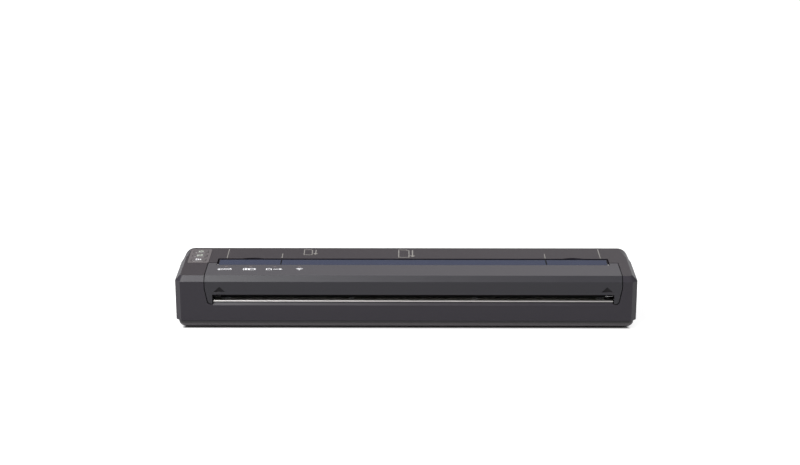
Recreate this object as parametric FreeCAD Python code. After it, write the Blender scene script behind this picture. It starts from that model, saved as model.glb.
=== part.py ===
import FreeCAD, Part
import math
import os

V = FreeCAD.Vector

# Driving sizes of the closed printer, millimetres.
# Origin: middle of the underside on the table, +X right, front towards -Y, +Z up.
paper_width = 210.0
body_depth = 55.0
body_height = 30.0
foot_height = 1.0
wall = 1.8
overrun = 2.0

# Room around the paper: from the sheet out to the slot, the release cover and the casing ends
slot_margin = 11.4
cover_margin = 8.4
end_room = 25.2
slot_length = paper_width + slot_margin
cover_width = slot_length + cover_margin
body_length = cover_width + end_room

# Scale of the works: 1 for this printer, less in a casing with less depth or height inside
walls_in_depth = 7.0
walls_in_height = 3.6
full_works_depth = 48.0
full_works_height = 26.4
works_by_depth = (body_depth - walls_in_depth) / full_works_depth
works_by_height = (body_height - walls_in_height) / full_works_height
works = min(works_by_depth, works_by_height)

# Outline of the moulded body
shoulder_radius = 6.0
side_edge_chamfer = 2.8
shoulder_length = 15.0
front_edge_chamfer = 2.8
front_corner_chamfer = 2.9
casing_split_height = 4.1
split_reveal = 0.6

# Paper path, which the cover, platen and head are centred on
path_x = 3.9
sill_rise = 2.6 * works
lintel_rise = 7.4 * works
inlet_width = 1.7

# Release cover, its hinge behind the platen
cover_seam = 0.45
cover_reach = 2.6 * works
hinge_setback = 13.0 * works
hinge_depth = 2.9 * works
hinge_pin_radius = 1.1
inlet_setback = 3.1 * works

# Platen and the gears that turn it
platen_radius = 5.5 * works
platen_setback = 13.5 * works
platen_room = 0.9 * works
chassis_lift = 2.6 * works
chassis_floor = 1.5 * works
shaft_radius = 2.0 * works
paper_gap = 0.2
running_fit = 0.05
fixed_fit = 0.02
gear_module = 0.5 * works
platen_teeth = 30
idler_teeth = 24
reduction_small_teeth = 14
reduction_large_teeth = 30
pinion_teeth = 12

# Levels and planes that everything else is measured from
under_z = foot_height
top_z = under_z + body_height
floor_z = under_z + wall
ceiling_z = top_z - wall
half_length = body_length / 2
half_depth = body_depth / 2
inner_x = half_length - wall
inner_y = half_depth - wall
split_z = under_z + casing_split_height
upper_edge_z = split_z + split_reveal / 2
lower_edge_z = split_z - split_reveal / 2
chassis_z = floor_z + chassis_lift
platen_y = -half_depth + platen_setback
platen_z = chassis_z + chassis_floor + platen_room + platen_radius
sill_z = platen_z + sill_rise
lintel_z = platen_z + lintel_rise
hinge_y = platen_y + hinge_setback
hinge_z = top_z - hinge_depth
cover_reach_y = hinge_y - cover_reach
inlet_front_y = hinge_y + inlet_setback
half_slot = slot_length / 2
half_cover = cover_width / 2
inlet_rear_y = inlet_front_y + inlet_width
inner_chamfer_share = 2 - math.sqrt(2)
round_bulge_share = 1 - math.cos(math.radians(45))


# Plain building shapes

def block(x0, x1, y0, y1, z0, z1):
    """Box between two opposite corners."""
    return Part.makeBox(x1 - x0, y1 - y0, z1 - z0, V(x0, y0, z0))


def rod_x(x0, x1, y, z, radius):
    return Part.makeCylinder(radius, x1 - x0, V(x0, y, z), V(1, 0, 0))


def rod_z(x, y, z0, z1, radius):
    return Part.makeCylinder(radius, z1 - z0, V(x, y, z0), V(0, 0, 1))


def outline(place, start, *steps):
    """Closed face: each step is an end point, or a middle and an end point for an arc."""
    edges = []
    here = start
    for step in steps + (start,):
        if isinstance(step[0], tuple):
            middle, end = step
            edges.append(Part.Arc(place(here), place(middle), place(end)).toShape())
        else:
            end = step
            if place(here).distanceToPoint(place(end)) > 0:
                edges.append(Part.makeLine(place(here), place(end)))
        here = end
    return Part.Face(Part.Wire(edges))


def along_x(x0, x1, start, *steps):
    """Outline in Y and Z, drawn out along X."""
    return outline(lambda p: V(x0, p[0], p[1]), start, *steps).extrude(V(x1 - x0, 0, 0))


def along_y(y0, y1, start, *steps):
    """Outline in X and Z, drawn out along Y."""
    return outline(lambda p: V(p[0], y0, p[1]), start, *steps).extrude(V(0, y1 - y0, 0))


def along_z(z0, z1, start, *steps):
    """Outline in X and Y, drawn out along Z."""
    return outline(lambda p: V(p[0], p[1], z0), start, *steps).extrude(V(0, 0, z1 - z0))


def middle_of(edge):
    return edge.valueAt((edge.FirstParameter + edge.LastParameter) / 2)


def edges_where(shape, wanted):
    """Edges whose middle point and direction pass the test."""
    chosen = []
    for edge in shape.Edges:
        first = edge.valueAt(edge.FirstParameter)
        last = edge.valueAt(edge.LastParameter)
        if wanted(middle_of(edge), last - first):
            chosen.append(edge)
    return chosen


def upright(step):
    return abs(step.x) < running_fit and abs(step.y) < running_fit


def soft_block(x0, x1, y0, y1, z0, z1, radius):
    """Box whose four upright edges are rounded."""
    box = block(x0, x1, y0, y1, z0, z1)
    return box.makeFillet(radius, edges_where(box, lambda m, d: upright(d)))


def fused(shapes):
    whole = shapes[0]
    if len(shapes) > 1:
        whole = whole.fuse(shapes[1:])
    return whole.removeSplitter()


def cut(shape, tools):
    return shape.cut(tools).removeSplitter()


def group(shapes):
    """Separate solids that share one node."""
    return Part.makeCompound(shapes)


def both_ends(shape):
    """The shape and its mirror image about the middle of the paper path."""
    return [shape, shape.mirror(V(path_x, 0, 0), V(1, 0, 0))]


def spread(count, first, last):
    """Evenly spaced places from first to last."""
    return [first + (last - first) * i / (count - 1) for i in range(count)]


# The outer form of the body, shared by the upper casing and the release cover

def side_cutter(side):
    """What is taken off a top side edge: a chamfer at the front, growing into the round shoulder."""
    x = side * half_length
    y_grow = half_depth - shoulder_radius - shoulder_length
    y_end = half_depth - shoulder_radius

    def corner(y, size, bulge_share):
        lower = V(x, y, top_z - size)
        inner = V(x - side * size, y, top_z)
        bulge = size * bulge_share
        middle = V(x - side * bulge, y, top_z - bulge)
        above = V(x - side * size, y, top_z + overrun)
        high = V(x + side * overrun, y, top_z + overrun)
        low = V(x + side * overrun, y, top_z - size)
        if bulge_share < 1 / 2:
            edges = [Part.Arc(lower, middle, inner).toShape()]
        else:
            edges = [Part.makeLine(lower, inner)]
        edges.append(Part.makeLine(inner, above))
        edges.append(Part.makeLine(above, high))
        edges.append(Part.makeLine(high, low))
        edges.append(Part.makeLine(low, lower))
        return Part.Wire(edges)

    flat = 1 / 2
    front = Part.Face(corner(-half_depth - overrun, side_edge_chamfer, flat))
    straight = front.extrude(V(0, y_grow + half_depth + overrun, 0))
    growing = Part.makeLoft([corner(y_grow, side_edge_chamfer, flat),
                             corner(y_end, shoulder_radius, round_bulge_share)], True)
    return [straight, growing]


def rounded_box(inset, low_z, radius):
    """Plain box of the body with its rear corners and all top edges but the front rounded."""
    length = half_length - inset
    depth = half_depth - inset
    box = block(-length, length, -depth, depth, low_z, top_z - inset)
    rear = edges_where(box, lambda m, d: upright(d) and m.y > 0)
    box = box.makeFillet(radius, rear)
    top = edges_where(box, lambda m, d: m.z > top_z - inset - fixed_fit and m.y > -depth + fixed_fit)
    return box.makeFillet(radius, top)


def body_solid():
    """Solid outer form of the printer above the casing split."""
    y_end = half_depth - shoulder_radius
    front = block(-half_length, half_length, -half_depth, y_end, upper_edge_z, top_z)
    corners = edges_where(front, lambda m, d: upright(d) and m.y < 0)
    front = front.makeChamfer(front_corner_chamfer, corners)
    limit = -half_depth + front_corner_chamfer
    brow = edges_where(front, lambda m, d: m.z > top_z - fixed_fit and m.y < limit)
    front = front.makeChamfer(front_edge_chamfer, brow)
    for side in (-1, 1):
        front = front.cut(side_cutter(side))
    rear = rounded_box(0, upper_edge_z, shoulder_radius)
    rear = rear.common(block(-body_length, body_length, y_end, body_depth, 0, top_z + overrun))
    return fused([front, rear])


def cavity():
    """Hollow inside the upper casing, one wall in from the outer form."""
    hollow = rounded_box(wall, 0, shoulder_radius - wall)
    brow = front_edge_chamfer - wall * inner_chamfer_share
    face = -half_depth + wall
    wedge = along_x(-body_length, body_length, (face - overrun, ceiling_z - brow),
                    (face, ceiling_z - brow), (face + brow, ceiling_z),
                    (face + brow, top_z), (face - overrun, top_z))
    return hollow.cut(wedge)


# Where the release cover meets the casing.
# Its width, ears and rear tongue are the same for both, one the seam wider than the other.
ear_width = 4.0
ear_drop = 5.3 * works
ear_radius = 1.9 * works
ear_taper = 1.4
ear_rise = 3.4 * works
tongue_inset = 5.8
cheek_gap = 1.1
cheek_radius = 3.3 * works
nose_clearance = 0.8
cheek_clearance = 0.2
notch_length = 3.5
ear_z = lintel_z - ear_drop
half_tongue = half_cover - tongue_inset


def cover_field(grow):
    """All the space of the release cover, grown sideways by the seam."""
    wide = half_cover + grow
    low = ear_z - grow
    r = ear_radius
    bulge = r * round_bulge_share
    left = path_x - wide
    right = path_x + wide
    sill_left = path_x - half_slot + grow
    sill_right = path_x + half_slot - grow
    tip = ear_taper
    face = along_y(-body_depth, half_depth, (left, top_z + overrun), (left, lintel_z + ear_rise),
                   (left + tip, low + r), ((left + tip + bulge, low + bulge), (left + tip + r, low)),
                   (sill_left, low), (sill_left, sill_z), (sill_right, sill_z), (sill_right, low),
                   (right - tip - r, low), ((right - tip - bulge, low + bulge), (right - tip, low + r)),
                   (right, lintel_z + ear_rise), (right, top_z + overrun))
    plan = block(left, right, -body_depth, cover_reach_y + grow, 0, top_z + overrun)
    return face.common(plan)


def tongue(half_width, rear_y):
    """Middle part of the cover field, between the cheeks and back to the inlet."""
    return block(path_x - half_width, path_x + half_width, -body_depth, rear_y, lintel_z, top_z + overrun)


def guide_sector(x0, x1, inner, outer):
    """Quarter ring round the bend of the paper, from the inlet down to the platen."""
    c = guide_y
    z = guide_z
    d = math.cos(math.radians(45))
    return along_x(x0, x1, (c + outer, z), ((c + outer * d, z - outer * d), (c, z - outer)),
                   (c, z - inner), ((c + inner * d, z - inner * d), (c + inner, z)))


# Bend of the paper between the inlet and the platen
guide_radius = 11.0 * works
guide_thickness = 1.4
guide_drop = 0.2
guide_inset = 3.2
guide_y = inlet_rear_y - guide_radius
guide_z = ceiling_z - guide_drop
half_guide = half_tongue - guide_inset

# Key panel and keys, at the left of the top
key_inset = 10.3
key_pitch = 7.2 * works
key_setback = 2.0 * works
key_length = 8.4
key_width = 5.2 * works
key_corner = 1.9 * works
key_play = 0.2
key_travel = 0.5
key_proud = 0.35
key_flange = 0.6 * works
key_flange_thickness = 0.5
panel_length = 12.2
panel_width = 24.0 * works
panel_corner = 1.2
panel_thickness = 1.2
key_x = -half_length + key_inset
key_first_y = hinge_y + key_setback
panel_y = key_first_y + key_pitch
key_ys = [key_first_y + key_pitch * i for i in range(3)]

# Sockets in the right end, behind a rubber flap
port_rear_inset = 7.1
port_length = 20.6 * works
port_height = 11.4 * works
port_low_height = 7.4
port_corner = 1.6
pocket_depth = 1.4
pocket_plate = 1.2
pocket_rim = 1.0
jack_inset = 15.0 * works
jack_rise = 4.8 * works
jack_bore_radius = 3.1 * works
usb_inset = 5.0 * works
usb_mouth_length = 7.7 * works
usb_mouth_height = 2.8 * works
usb_rise = 2.3 * works
port_rear_y = half_depth - port_rear_inset
port_front_y = port_rear_y - port_length
port_low_z = under_z + port_low_height
port_high_z = port_low_z + port_height
pocket_face_x = inner_x - pocket_depth + pocket_plate
jack_y = port_rear_y - jack_inset
usb_y = port_rear_y - usb_inset
jack_z = port_low_z + jack_rise
usb_z = port_low_z + usb_rise

# Battery bay in the rear half
battery_left_room = 42.5
battery_right_room = 40.5
battery_depth = 18.2 * works
battery_height = 18.2 * works
battery_radius = 7.0 * works
battery_lift = 1.3
bay_room = 0.4
bay_wall = 1.2
bay_wall_height = 20.0 * works
battery_left = -half_length + battery_left_room
battery_right = half_length - battery_right_room
battery_rear_y = inner_y - bay_room
battery_front_y = battery_rear_y - battery_depth
battery_low_z = floor_z + battery_lift
battery_high_z = battery_low_z + battery_height


# Upper casing: one moulding with the hinge cheeks, screw bosses, battery ribs and socket pocket.
boss_radius = 2.0
boss_hole_radius = 0.7
boss_hole_depth = 9.0 * works
boss_seat_height = 4.9
sill_bevel = 1.4
recess_length = 12.0
recess_depth = 1.3
recess_inset = 18.7
hold_rib_count = 5
hold_rib_thickness = 1.2
cheek_web = 3.4 * works
boss_inset_x = 6.7
boss_right_inset_x = 4.6
boss_inset_y = 6.7
boss_rear_inset_y = 5.6
boss_middle_gap = 5.6
boss_seat_z = under_z + boss_seat_height
boss_places = ((-half_length + boss_inset_x, -half_depth + boss_inset_y),
               (-half_length + boss_inset_x, half_depth - boss_rear_inset_y),
               (battery_left - boss_middle_gap, half_depth - boss_rear_inset_y),
               (battery_right + boss_middle_gap, half_depth - boss_rear_inset_y),
               (half_length - boss_right_inset_x, -half_depth + boss_inset_y),
               (half_length - boss_right_inset_x, half_depth - boss_rear_inset_y))


def inlet_recesses():
    """Two shallow finger scoops in the rear edge of the inlet."""
    chord = recess_length / 2
    radius = (chord ** 2 + recess_depth ** 2) / (2 * recess_depth)
    y = inlet_rear_y + recess_depth - radius
    scoops = []
    for side in (-1, 1):
        scoop = rod_z(path_x + side * (half_tongue - recess_inset), y, guide_z, top_z + overrun, radius)
        x = path_x + side * (half_tongue - recess_inset)
        scoops.append(scoop.common(block(x - radius, x + radius, inlet_rear_y - overrun, half_depth,
                                         guide_z, top_z + overrun)))
    return scoops


def hinge_cheeks():
    """Round-nosed lugs at both ends of the cover that hold the hinge pins."""
    near = path_x - half_tongue - cheek_gap
    far = path_x - half_cover
    nose = rod_x(far, near, hinge_y, hinge_z, cheek_radius)
    web = block(far, near, hinge_y, hinge_y + cheek_radius + cheek_web, hinge_z - cheek_radius, top_z)
    limit = block(far, near, -half_depth, half_depth, 0, top_z)
    return both_ends(nose.fuse(web).common(limit))


def hinge_bores():
    near = path_x - half_tongue - cheek_gap
    return both_ends(rod_x(path_x - half_cover, near, hinge_y, hinge_z, hinge_pin_radius + fixed_fit))


def key_floor_cuts():
    """Recess of the key panel and the three key holes through its floor."""
    x0 = key_x - panel_length / 2
    x1 = key_x + panel_length / 2
    y0 = panel_y - panel_width / 2
    y1 = panel_y + panel_width / 2
    tools = [soft_block(x0, x1, y0, y1, top_z - panel_thickness, top_z + overrun, panel_corner)]
    for y in key_ys:
        tools.append(key_column(y, ceiling_z - overrun, top_z, key_play))
    return tools


def key_column(y, z0, z1, grow):
    return soft_block(key_x - key_length / 2 - grow, key_x + key_length / 2 + grow,
                      y - key_width / 2 - grow, y + key_width / 2 + grow, z0, z1, key_corner + grow)


def upper_casing():
    gap = tongue(half_tongue + cheek_gap, inlet_rear_y)
    shell = body_solid().cut([cavity(), cover_field(cover_seam), gap])
    slot = block(path_x - half_slot, path_x + half_slot, -body_depth, -half_depth + wall + overrun,
                 sill_z, lintel_z)
    front = -half_depth
    bevel = along_x(path_x - half_slot, path_x + half_slot, (front - overrun, sill_z - sill_bevel),
                    (front, sill_z - sill_bevel), (front + sill_bevel, sill_z),
                    (front + sill_bevel, sill_z + overrun), (front - overrun, sill_z + overrun))
    tools = [slot, bevel] + inlet_recesses() + key_floor_cuts()
    tools.append(block(inner_x - overrun, body_length, port_front_y, port_rear_y, port_low_z, port_high_z))
    shell = shell.cut(tools)
    added = hinge_cheeks() + [socket_pocket()] + key_posts()
    for x, y in boss_places:
        added.append(rod_z(x, y, boss_seat_z, ceiling_z + fixed_fit, boss_radius))
    for x in spread(hold_rib_count, battery_left + wall, battery_right - wall):
        added.append(block(x - hold_rib_thickness / 2, x + hold_rib_thickness / 2,
                           battery_front_y, battery_rear_y - battery_radius / 2,
                           battery_high_z + bay_room, ceiling_z + fixed_fit))
    holes = [rod_z(x, y, boss_seat_z, boss_seat_z + boss_hole_depth, boss_hole_radius)
             for x, y in boss_places]
    return cut(fused([shell] + added), holes + hinge_bores() + [flap_pin_hole()])


def socket_pocket():
    """Tray let into the right end wall, with a hole for each socket and for the flap's pin."""
    x0 = inner_x - pocket_depth
    box = block(x0, inner_x + fixed_fit, port_front_y - pocket_rim, port_rear_y + pocket_rim,
                port_low_z - pocket_rim, port_high_z + pocket_rim)
    room = block(x0 + pocket_plate, body_length, port_front_y, port_rear_y, port_low_z, port_high_z)
    jack = rod_x(x0 - overrun, inner_x, jack_y, jack_z, jack_bore_radius)
    usb = soft_x(x0 - overrun, inner_x, usb_y, usb_z, usb_mouth_length + pocket_rim / 2,
                 usb_mouth_height + pocket_rim / 2)
    return box.cut([room, jack, usb])


def soft_x(x0, x1, y, z, length, height):
    """Slot with fully rounded ends, drawn along X."""
    r = height / 2
    a = y - length / 2
    b = y + length / 2
    return along_x(x0, x1, (a + r, z - r), (b - r, z - r), ((b, z), (b - r, z + r)),
                   (a + r, z + r), ((a, z), (a + r, z - r)))


# Bottom casing: shallow tray, set in from the upper casing all round.
tray_inset = 1.2
tray_edge_radius = 3.2
tray_front_corner = 3.6
tray_rear_corner = 5.0
lip_thickness = 1.2
lip_height = 1.7
lip_play = 0.15
tray_boss_radius = 2.2
screw_radius = 0.7
screw_play = 0.3
screw_head_radius = 1.7
screw_head_depth = 1.4
screw_sink = 0.3
cross_rib_count = 7
cross_rib_thickness = 1.2
door_inset = 1.0
door_seam = 0.3
runner_width = 1.2
runner_height = 0.9
runner_length = 10.0
runner_play = 0.15
grip_count = 5
grip_first_inset = 12.5
grip_last_inset = 6.5
grip_length = 16.0
grip_width = 0.7
grip_depth = 0.5
foot_radius = 4.0
foot_sink = 0.6
foot_edge = 0.5
foot_inset_x = 16.5
foot_inset_y = 10.0
door_left = battery_left + door_inset
door_right = battery_right - door_inset
door_front_y = battery_front_y
foot_x = half_length - foot_inset_x
foot_y = half_depth - foot_inset_y
foot_places = ((-foot_x, -foot_y), (-foot_x, foot_y), (foot_x, -foot_y), (foot_x, foot_y))


def tray_solid():
    """Solid outer form of the tray, rounded all round its lower edge."""
    x = half_length - tray_inset
    y = half_depth - tray_inset
    box = block(-x, x, -y, y, under_z, lower_edge_z)
    box = box.makeFillet(tray_rear_corner, edges_where(box, lambda m, d: upright(d) and m.y > 0))
    box = box.makeFillet(tray_front_corner, edges_where(box, lambda m, d: upright(d) and m.y < 0))
    return box.makeFillet(tray_edge_radius, edges_where(box, lambda m, d: m.z < under_z + fixed_fit))


def tray_hollow(low_z, high_z):
    x = half_length - tray_inset - wall
    y = half_depth - tray_inset - wall
    return soft_block(-x, x, -y, y, low_z, high_z, tray_front_corner - wall)


def screw_posts(places, seat_z, radius):
    return [rod_z(x, y, floor_z - fixed_fit, seat_z, radius) for x, y in places]


def bottom_casing():
    shell = tray_solid().cut(tray_hollow(floor_z, top_z))
    x = inner_x - lip_play
    y = inner_y - lip_play
    radius = shoulder_radius - wall
    lip = soft_block(-x, x, -y, y, lower_edge_z - wall / 2, split_z + lip_height, radius)
    t = lip_thickness
    lip = lip.cut(soft_block(-x + t, x - t, -y + t, y - t, 0, top_z, radius - t))
    # The front of the lip has only the small corner rounding of the casing's inside
    lip = lip.common(tray_hollow(0, top_z).fuse(block(-x, x, -y, y, lower_edge_z - fixed_fit, top_z)))
    added = [lip] + screw_posts(boss_places, boss_seat_z, tray_boss_radius)
    added += screw_posts(chassis_screw_places(), chassis_z, boss_radius + boss_hole_radius)
    added += screw_posts(board_screw_places(), board_z, boss_radius)
    half = cross_rib_thickness / 2
    rear_rib_y = battery_front_y - bay_room
    first_rib = chassis_left_x + chassis_rib_inset
    last_rib = chassis_right_x - chassis_rib_inset
    for rib_x in spread(cross_rib_count, first_rib, last_rib):
        added.append(block(rib_x - half, rib_x + half, -inner_y + t, rear_rib_y,
                           floor_z - fixed_fit, chassis_z))
    added += battery_bay()
    shell = fused([shell] + added)
    shell = shell.cut(motor_clearance())
    lip_inner_y = y - t
    tools = [block(door_left, door_right, door_front_y, body_depth, 0, lower_edge_z)]
    tools.append(block(door_left - runner_width, door_right + runner_width, lip_inner_y,
                       body_depth, lower_edge_z - fixed_fit, top_z))
    for place_x, place_y in boss_places:
        tools.append(rod_z(place_x, place_y, boss_seat_z, top_z, boss_radius + lip_play))
        tools.append(rod_z(place_x, place_y, 0, boss_seat_z + overrun, screw_radius + screw_play))
        tools.append(rod_z(place_x, place_y, 0, under_z + screw_sink + screw_head_depth,
                           screw_head_radius + screw_play))
    for place_x, place_y in chassis_screw_places():
        tools.append(rod_z(place_x, place_y, floor_z, chassis_z + overrun, boss_hole_radius))
    for place_x, place_y in board_screw_places():
        tools.append(rod_z(place_x, place_y, floor_z, board_z + overrun, boss_hole_radius))
    for place_x, place_y in foot_places:
        tools.append(rod_z(place_x, place_y, 0, under_z + foot_sink, foot_radius + fixed_fit))
    return cut(shell, tools)


def battery_bay():
    """Upright walls round the battery: one long wall and two ends."""
    high = floor_z + bay_wall_height
    front = battery_front_y - bay_room
    left = battery_left - bay_room - contact_depth
    right = battery_right + bay_room
    rear = half_depth - tray_inset - wall + fixed_fit
    long_wall = block(left - bay_wall, right + bay_wall, front - bay_wall, front, floor_z - fixed_fit, high)
    left_wall = block(left - bay_wall, left, front - bay_wall, rear, floor_z - fixed_fit, high)
    right_wall = block(right, right + bay_wall, front - bay_wall, rear, floor_z - fixed_fit, high)
    return [long_wall, left_wall, right_wall]


def battery_cover():
    """L-shaped door of the tray: its floor and rear wall between the two seams, with side runners."""
    zone = block(door_left + door_seam, door_right - door_seam, door_front_y + door_seam, body_depth,
                 0, lower_edge_z)
    plate = tray_solid().common(zone).cut(tray_hollow(floor_z, top_z))
    runner = block(door_left - runner_width, door_left + door_seam, door_front_y + door_seam,
                   door_front_y + door_seam + runner_length, floor_z + runner_play,
                   floor_z + runner_play + runner_height)
    riser = block(door_left + door_seam, door_left + door_seam + runner_width, door_front_y + door_seam,
                  door_front_y + door_seam + runner_length, floor_z - fixed_fit,
                  floor_z + runner_play + runner_height)
    middle = (door_left + door_right) / 2
    side = runner.fuse(riser)
    pair = [side, side.mirror(V(middle, 0, 0), V(1, 0, 0))]
    grooves = []
    for y in spread(grip_count, half_depth - grip_first_inset, half_depth - grip_last_inset):
        grooves.append(block(middle - grip_length / 2, middle + grip_length / 2, y - grip_width / 2,
                             y + grip_width / 2, under_z - overrun, under_z + grip_depth))
    return cut(fused([plate] + pair), grooves)


def rubber_feet():
    feet = []
    for x, y in foot_places:
        foot = rod_z(x, y, 0, under_z + foot_sink, foot_radius)
        rim = edges_where(foot, lambda m, d: m.z < fixed_fit and d.Length < fixed_fit)
        feet.append(foot.makeChamfer(foot_edge, rim))
    return group(feet)


# Screws of the whole printer: one size of head and thread, three lengths.
case_screw_length = 8.0
short_screw_length = 4.0
screw_tip_room = 0.1


def screw(x, y, head_z, length, way):
    """Pan-head screw: way +1 points up from its head, -1 points down from it."""
    z_head_end = head_z + way * screw_head_depth
    z_tip = z_head_end + way * length
    head = rod_z(x, y, min(head_z, z_head_end), max(head_z, z_head_end), screw_head_radius)
    shank = rod_z(x, y, min(z_head_end, z_tip), max(z_head_end, z_tip), screw_radius)
    return fused([head, shank])


def case_screws():
    return group([screw(x, y, under_z + screw_sink, case_screw_length, 1) for x, y in boss_places])


# Chassis: moulded frame on the tray that carries platen, gears, tear bar and paper guide.
chassis_gap = 0.4
chassis_wall = 1.3
chassis_front_gap = 1.7 * works
chassis_wall_drop = 3.6 * works
chassis_rib_inset = 6.0
chassis_nose = 7.0
beam_depth = 3.7 * works
beam_wall = 1.4
beam_rib_count = 7
motor_wall_length = 18.6 * works
motor_wall_height = 18.0 * works
detent_radius = 1.2
detent_proud = 0.25
detent_inset = 7.5
detent_drop = 5.5 * works
chassis_screw_shares = (-0.85, -0.32, 0.32, 0.85)
chassis_screw_inset = 4.6
chassis_left_in = path_x - half_cover - chassis_gap
chassis_right_in = path_x + half_cover + chassis_gap
chassis_left_x = chassis_left_in - chassis_wall
chassis_right_x = chassis_right_in + chassis_wall
chassis_front_y = -inner_y + chassis_front_gap
chassis_rear_y = battery_front_y - bay_room - bay_wall - bay_room
chassis_wall_top = top_z - chassis_wall_drop
beam_top_z = sill_z + cheek_clearance
detent_y = -half_depth + detent_inset
detent_z = top_z - detent_drop


def chassis_screw_places():
    y = chassis_rear_y - chassis_screw_inset
    return [(path_x + share * half_slot, y) for share in chassis_screw_shares]


def end_wall(x0, x1, rear_y):
    """Side wall of the chassis with its leaning front edge."""
    lean_z = beam_top_z + chassis_nose
    return along_x(x0, x1, (chassis_front_y, chassis_z), (chassis_front_y, lean_z),
                   (chassis_front_y + chassis_wall_drop, chassis_wall_top), (rear_y, chassis_wall_top),
                   (rear_y, chassis_z))


def chassis():
    floor = block(chassis_left_x, chassis_right_x, chassis_front_y, chassis_rear_y,
                  chassis_z, chassis_z + chassis_floor)
    floor = floor.cut(block(chassis_right_in - port_length, chassis_right_x + overrun,
                            port_front_y - overrun, chassis_rear_y + overrun, 0, top_z))
    beam = block(path_x - half_slot, path_x + half_slot, chassis_front_y, chassis_front_y + beam_wall,
                 chassis_z, beam_top_z)
    flange = block(path_x - half_slot, path_x + half_slot, chassis_front_y, chassis_front_y + beam_depth,
                   beam_top_z - beam_wall, beam_top_z)
    floor = floor.cut(motor_clearance())
    left = end_wall(chassis_left_x, chassis_left_in, chassis_rear_y)
    right = end_wall(chassis_right_in, chassis_right_x, port_front_y - pocket_rim - cheek_clearance)
    motor_wall = block(chassis_left_x, chassis_left_in, chassis_rear_y - overrun,
                       chassis_rear_y + motor_wall_length, chassis_z, chassis_z + motor_wall_height)
    ribs = []
    half = cross_rib_thickness / 2
    for x in spread(beam_rib_count, path_x - half_slot + half, path_x + half_slot - half):
        ribs.append(along_x(x - half, x + half, (chassis_front_y, chassis_z),
                            (chassis_front_y + beam_depth, chassis_z + chassis_floor),
                            (chassis_front_y + beam_wall, beam_top_z - beam_wall)))
    body = fused([floor, beam, flange, left, right, motor_wall] + ribs)
    tools = [rod_x(chassis_left_x - overrun, chassis_right_x + overrun, platen_y, platen_z,
                   bush_radius + fixed_fit)]
    for y, z in (idler_centre, reduction_centre):
        tools.append(rod_x(chassis_left_x - overrun, chassis_left_in + overrun, y, z,
                           axle_radius + fixed_fit))
    tools.append(rod_x(chassis_left_x - overrun, chassis_left_in + overrun, motor_y, motor_z,
                       motor_boss_radius + fixed_fit))
    for y, z in motor_ear_places():
        tools.append(rod_x(chassis_left_x - overrun, chassis_left_in + overrun, y, z, screw_radius))
    for x, y in chassis_screw_places():
        tools.append(rod_z(x, y, 0, top_z, screw_radius + screw_play))
    tools += both_ends(snap_cone(path_x - half_cover, cheek_clearance))
    for x in tear_screw_places():
        tools.append(rod_z(x, tear_screw_y, beam_top_z - beam_wall - overrun, top_z, boss_hole_radius))
    return cut(body, tools)


def chassis_screws():
    level = chassis_z + chassis_floor + screw_head_depth
    length = chassis_lift + chassis_floor - screw_tip_room
    return group([screw(x, y, level, length, -1) for x, y in chassis_screw_places()])


# Tear bar: ground steel strip on the chassis beam, its sloping front face just over the sill.
tear_bar_height = 2.2
tear_bar_front_gap = 1.0
tear_bar_lift = 0.45
tear_bar_nose = 1.0
tear_bar_slope = 1.0
tear_bar_edge = 0.5
tear_bar_foot = 0.8
tear_bar_play = 0.4
tear_screw_count = 4
tear_screw_inset = 8.0
tear_front_y = -half_depth + tear_bar_front_gap
tear_rear_y = chassis_front_y + beam_depth - tear_bar_play
tear_screw_y = (chassis_front_y + tear_rear_y) / 2


def tear_screw_places():
    reach = half_slot - tear_screw_inset
    return spread(tear_screw_count, path_x - reach, path_x + reach)


def tear_bar():
    low = beam_top_z
    high = beam_top_z + tear_bar_height
    half = half_slot - tear_bar_play
    edge_y = tear_front_y + tear_bar_slope + tear_bar_edge
    foot = low + tear_bar_foot
    bar = along_x(path_x - half, path_x + half, (tear_front_y + tear_bar_lift, low),
                  (tear_front_y, low + tear_bar_lift), (tear_front_y, low + tear_bar_nose),
                  (tear_front_y + tear_bar_slope, high), (edge_y, high), (edge_y, foot),
                  (tear_rear_y, foot), (tear_rear_y, low))
    sink = foot - screw_head_depth / 2
    tools = []
    for x in tear_screw_places():
        tools.append(rod_z(x, tear_screw_y, low - overrun, foot + overrun, screw_radius))
        tools.append(Part.makeCone(screw_radius, screw_head_radius, screw_head_depth / 2,
                                   V(x, tear_screw_y, sink)))
    return cut(bar, tools)


def tear_bar_screws():
    """Countersunk screws, their heads level with the foot of the bar."""
    sink = beam_top_z + tear_bar_foot - screw_head_depth / 2
    screws = []
    for x in tear_screw_places():
        head = Part.makeCone(screw_radius, screw_head_radius, screw_head_depth / 2, V(x, tear_screw_y, sink))
        shank = rod_z(x, tear_screw_y, sink - short_screw_length + beam_wall, sink, screw_radius - fixed_fit)
        screws.append(head.fuse(shank).removeSplitter())
    return group(screws)


# Platen: steel shaft in two flanged bushes, with the rubber roller moulded on.
platen_end = 2.0
bush_radius = 3.2 * works
bush_flange_radius = 4.2 * works
bush_flange = 0.8
shaft_end_room = 1.0
clip_radius = 3.2 * works
clip_thickness = 0.5
gear_width = 3.1
gear_wall_gap = 1.6
layer_gap = 1.9
shaft_overhang = 0.9
flat_share = 0.72
half_platen = paper_width / 2 + platen_end
gear_right_x = chassis_left_x - gear_wall_gap
gear_left_x = gear_right_x - gear_width
far_gear_right_x = gear_left_x - layer_gap
far_gear_left_x = far_gear_right_x - gear_width
shaft_left_x = gear_left_x - shaft_overhang
shaft_right_x = chassis_right_x + shaft_end_room


def shaft_flat(x0, x1):
    """What is milled off the shaft so that the gear can't slip on it."""
    return block(x0, x1, platen_y - shaft_radius, platen_y + shaft_radius,
                 platen_z + shaft_radius * flat_share, platen_z + shaft_radius + overrun)


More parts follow.
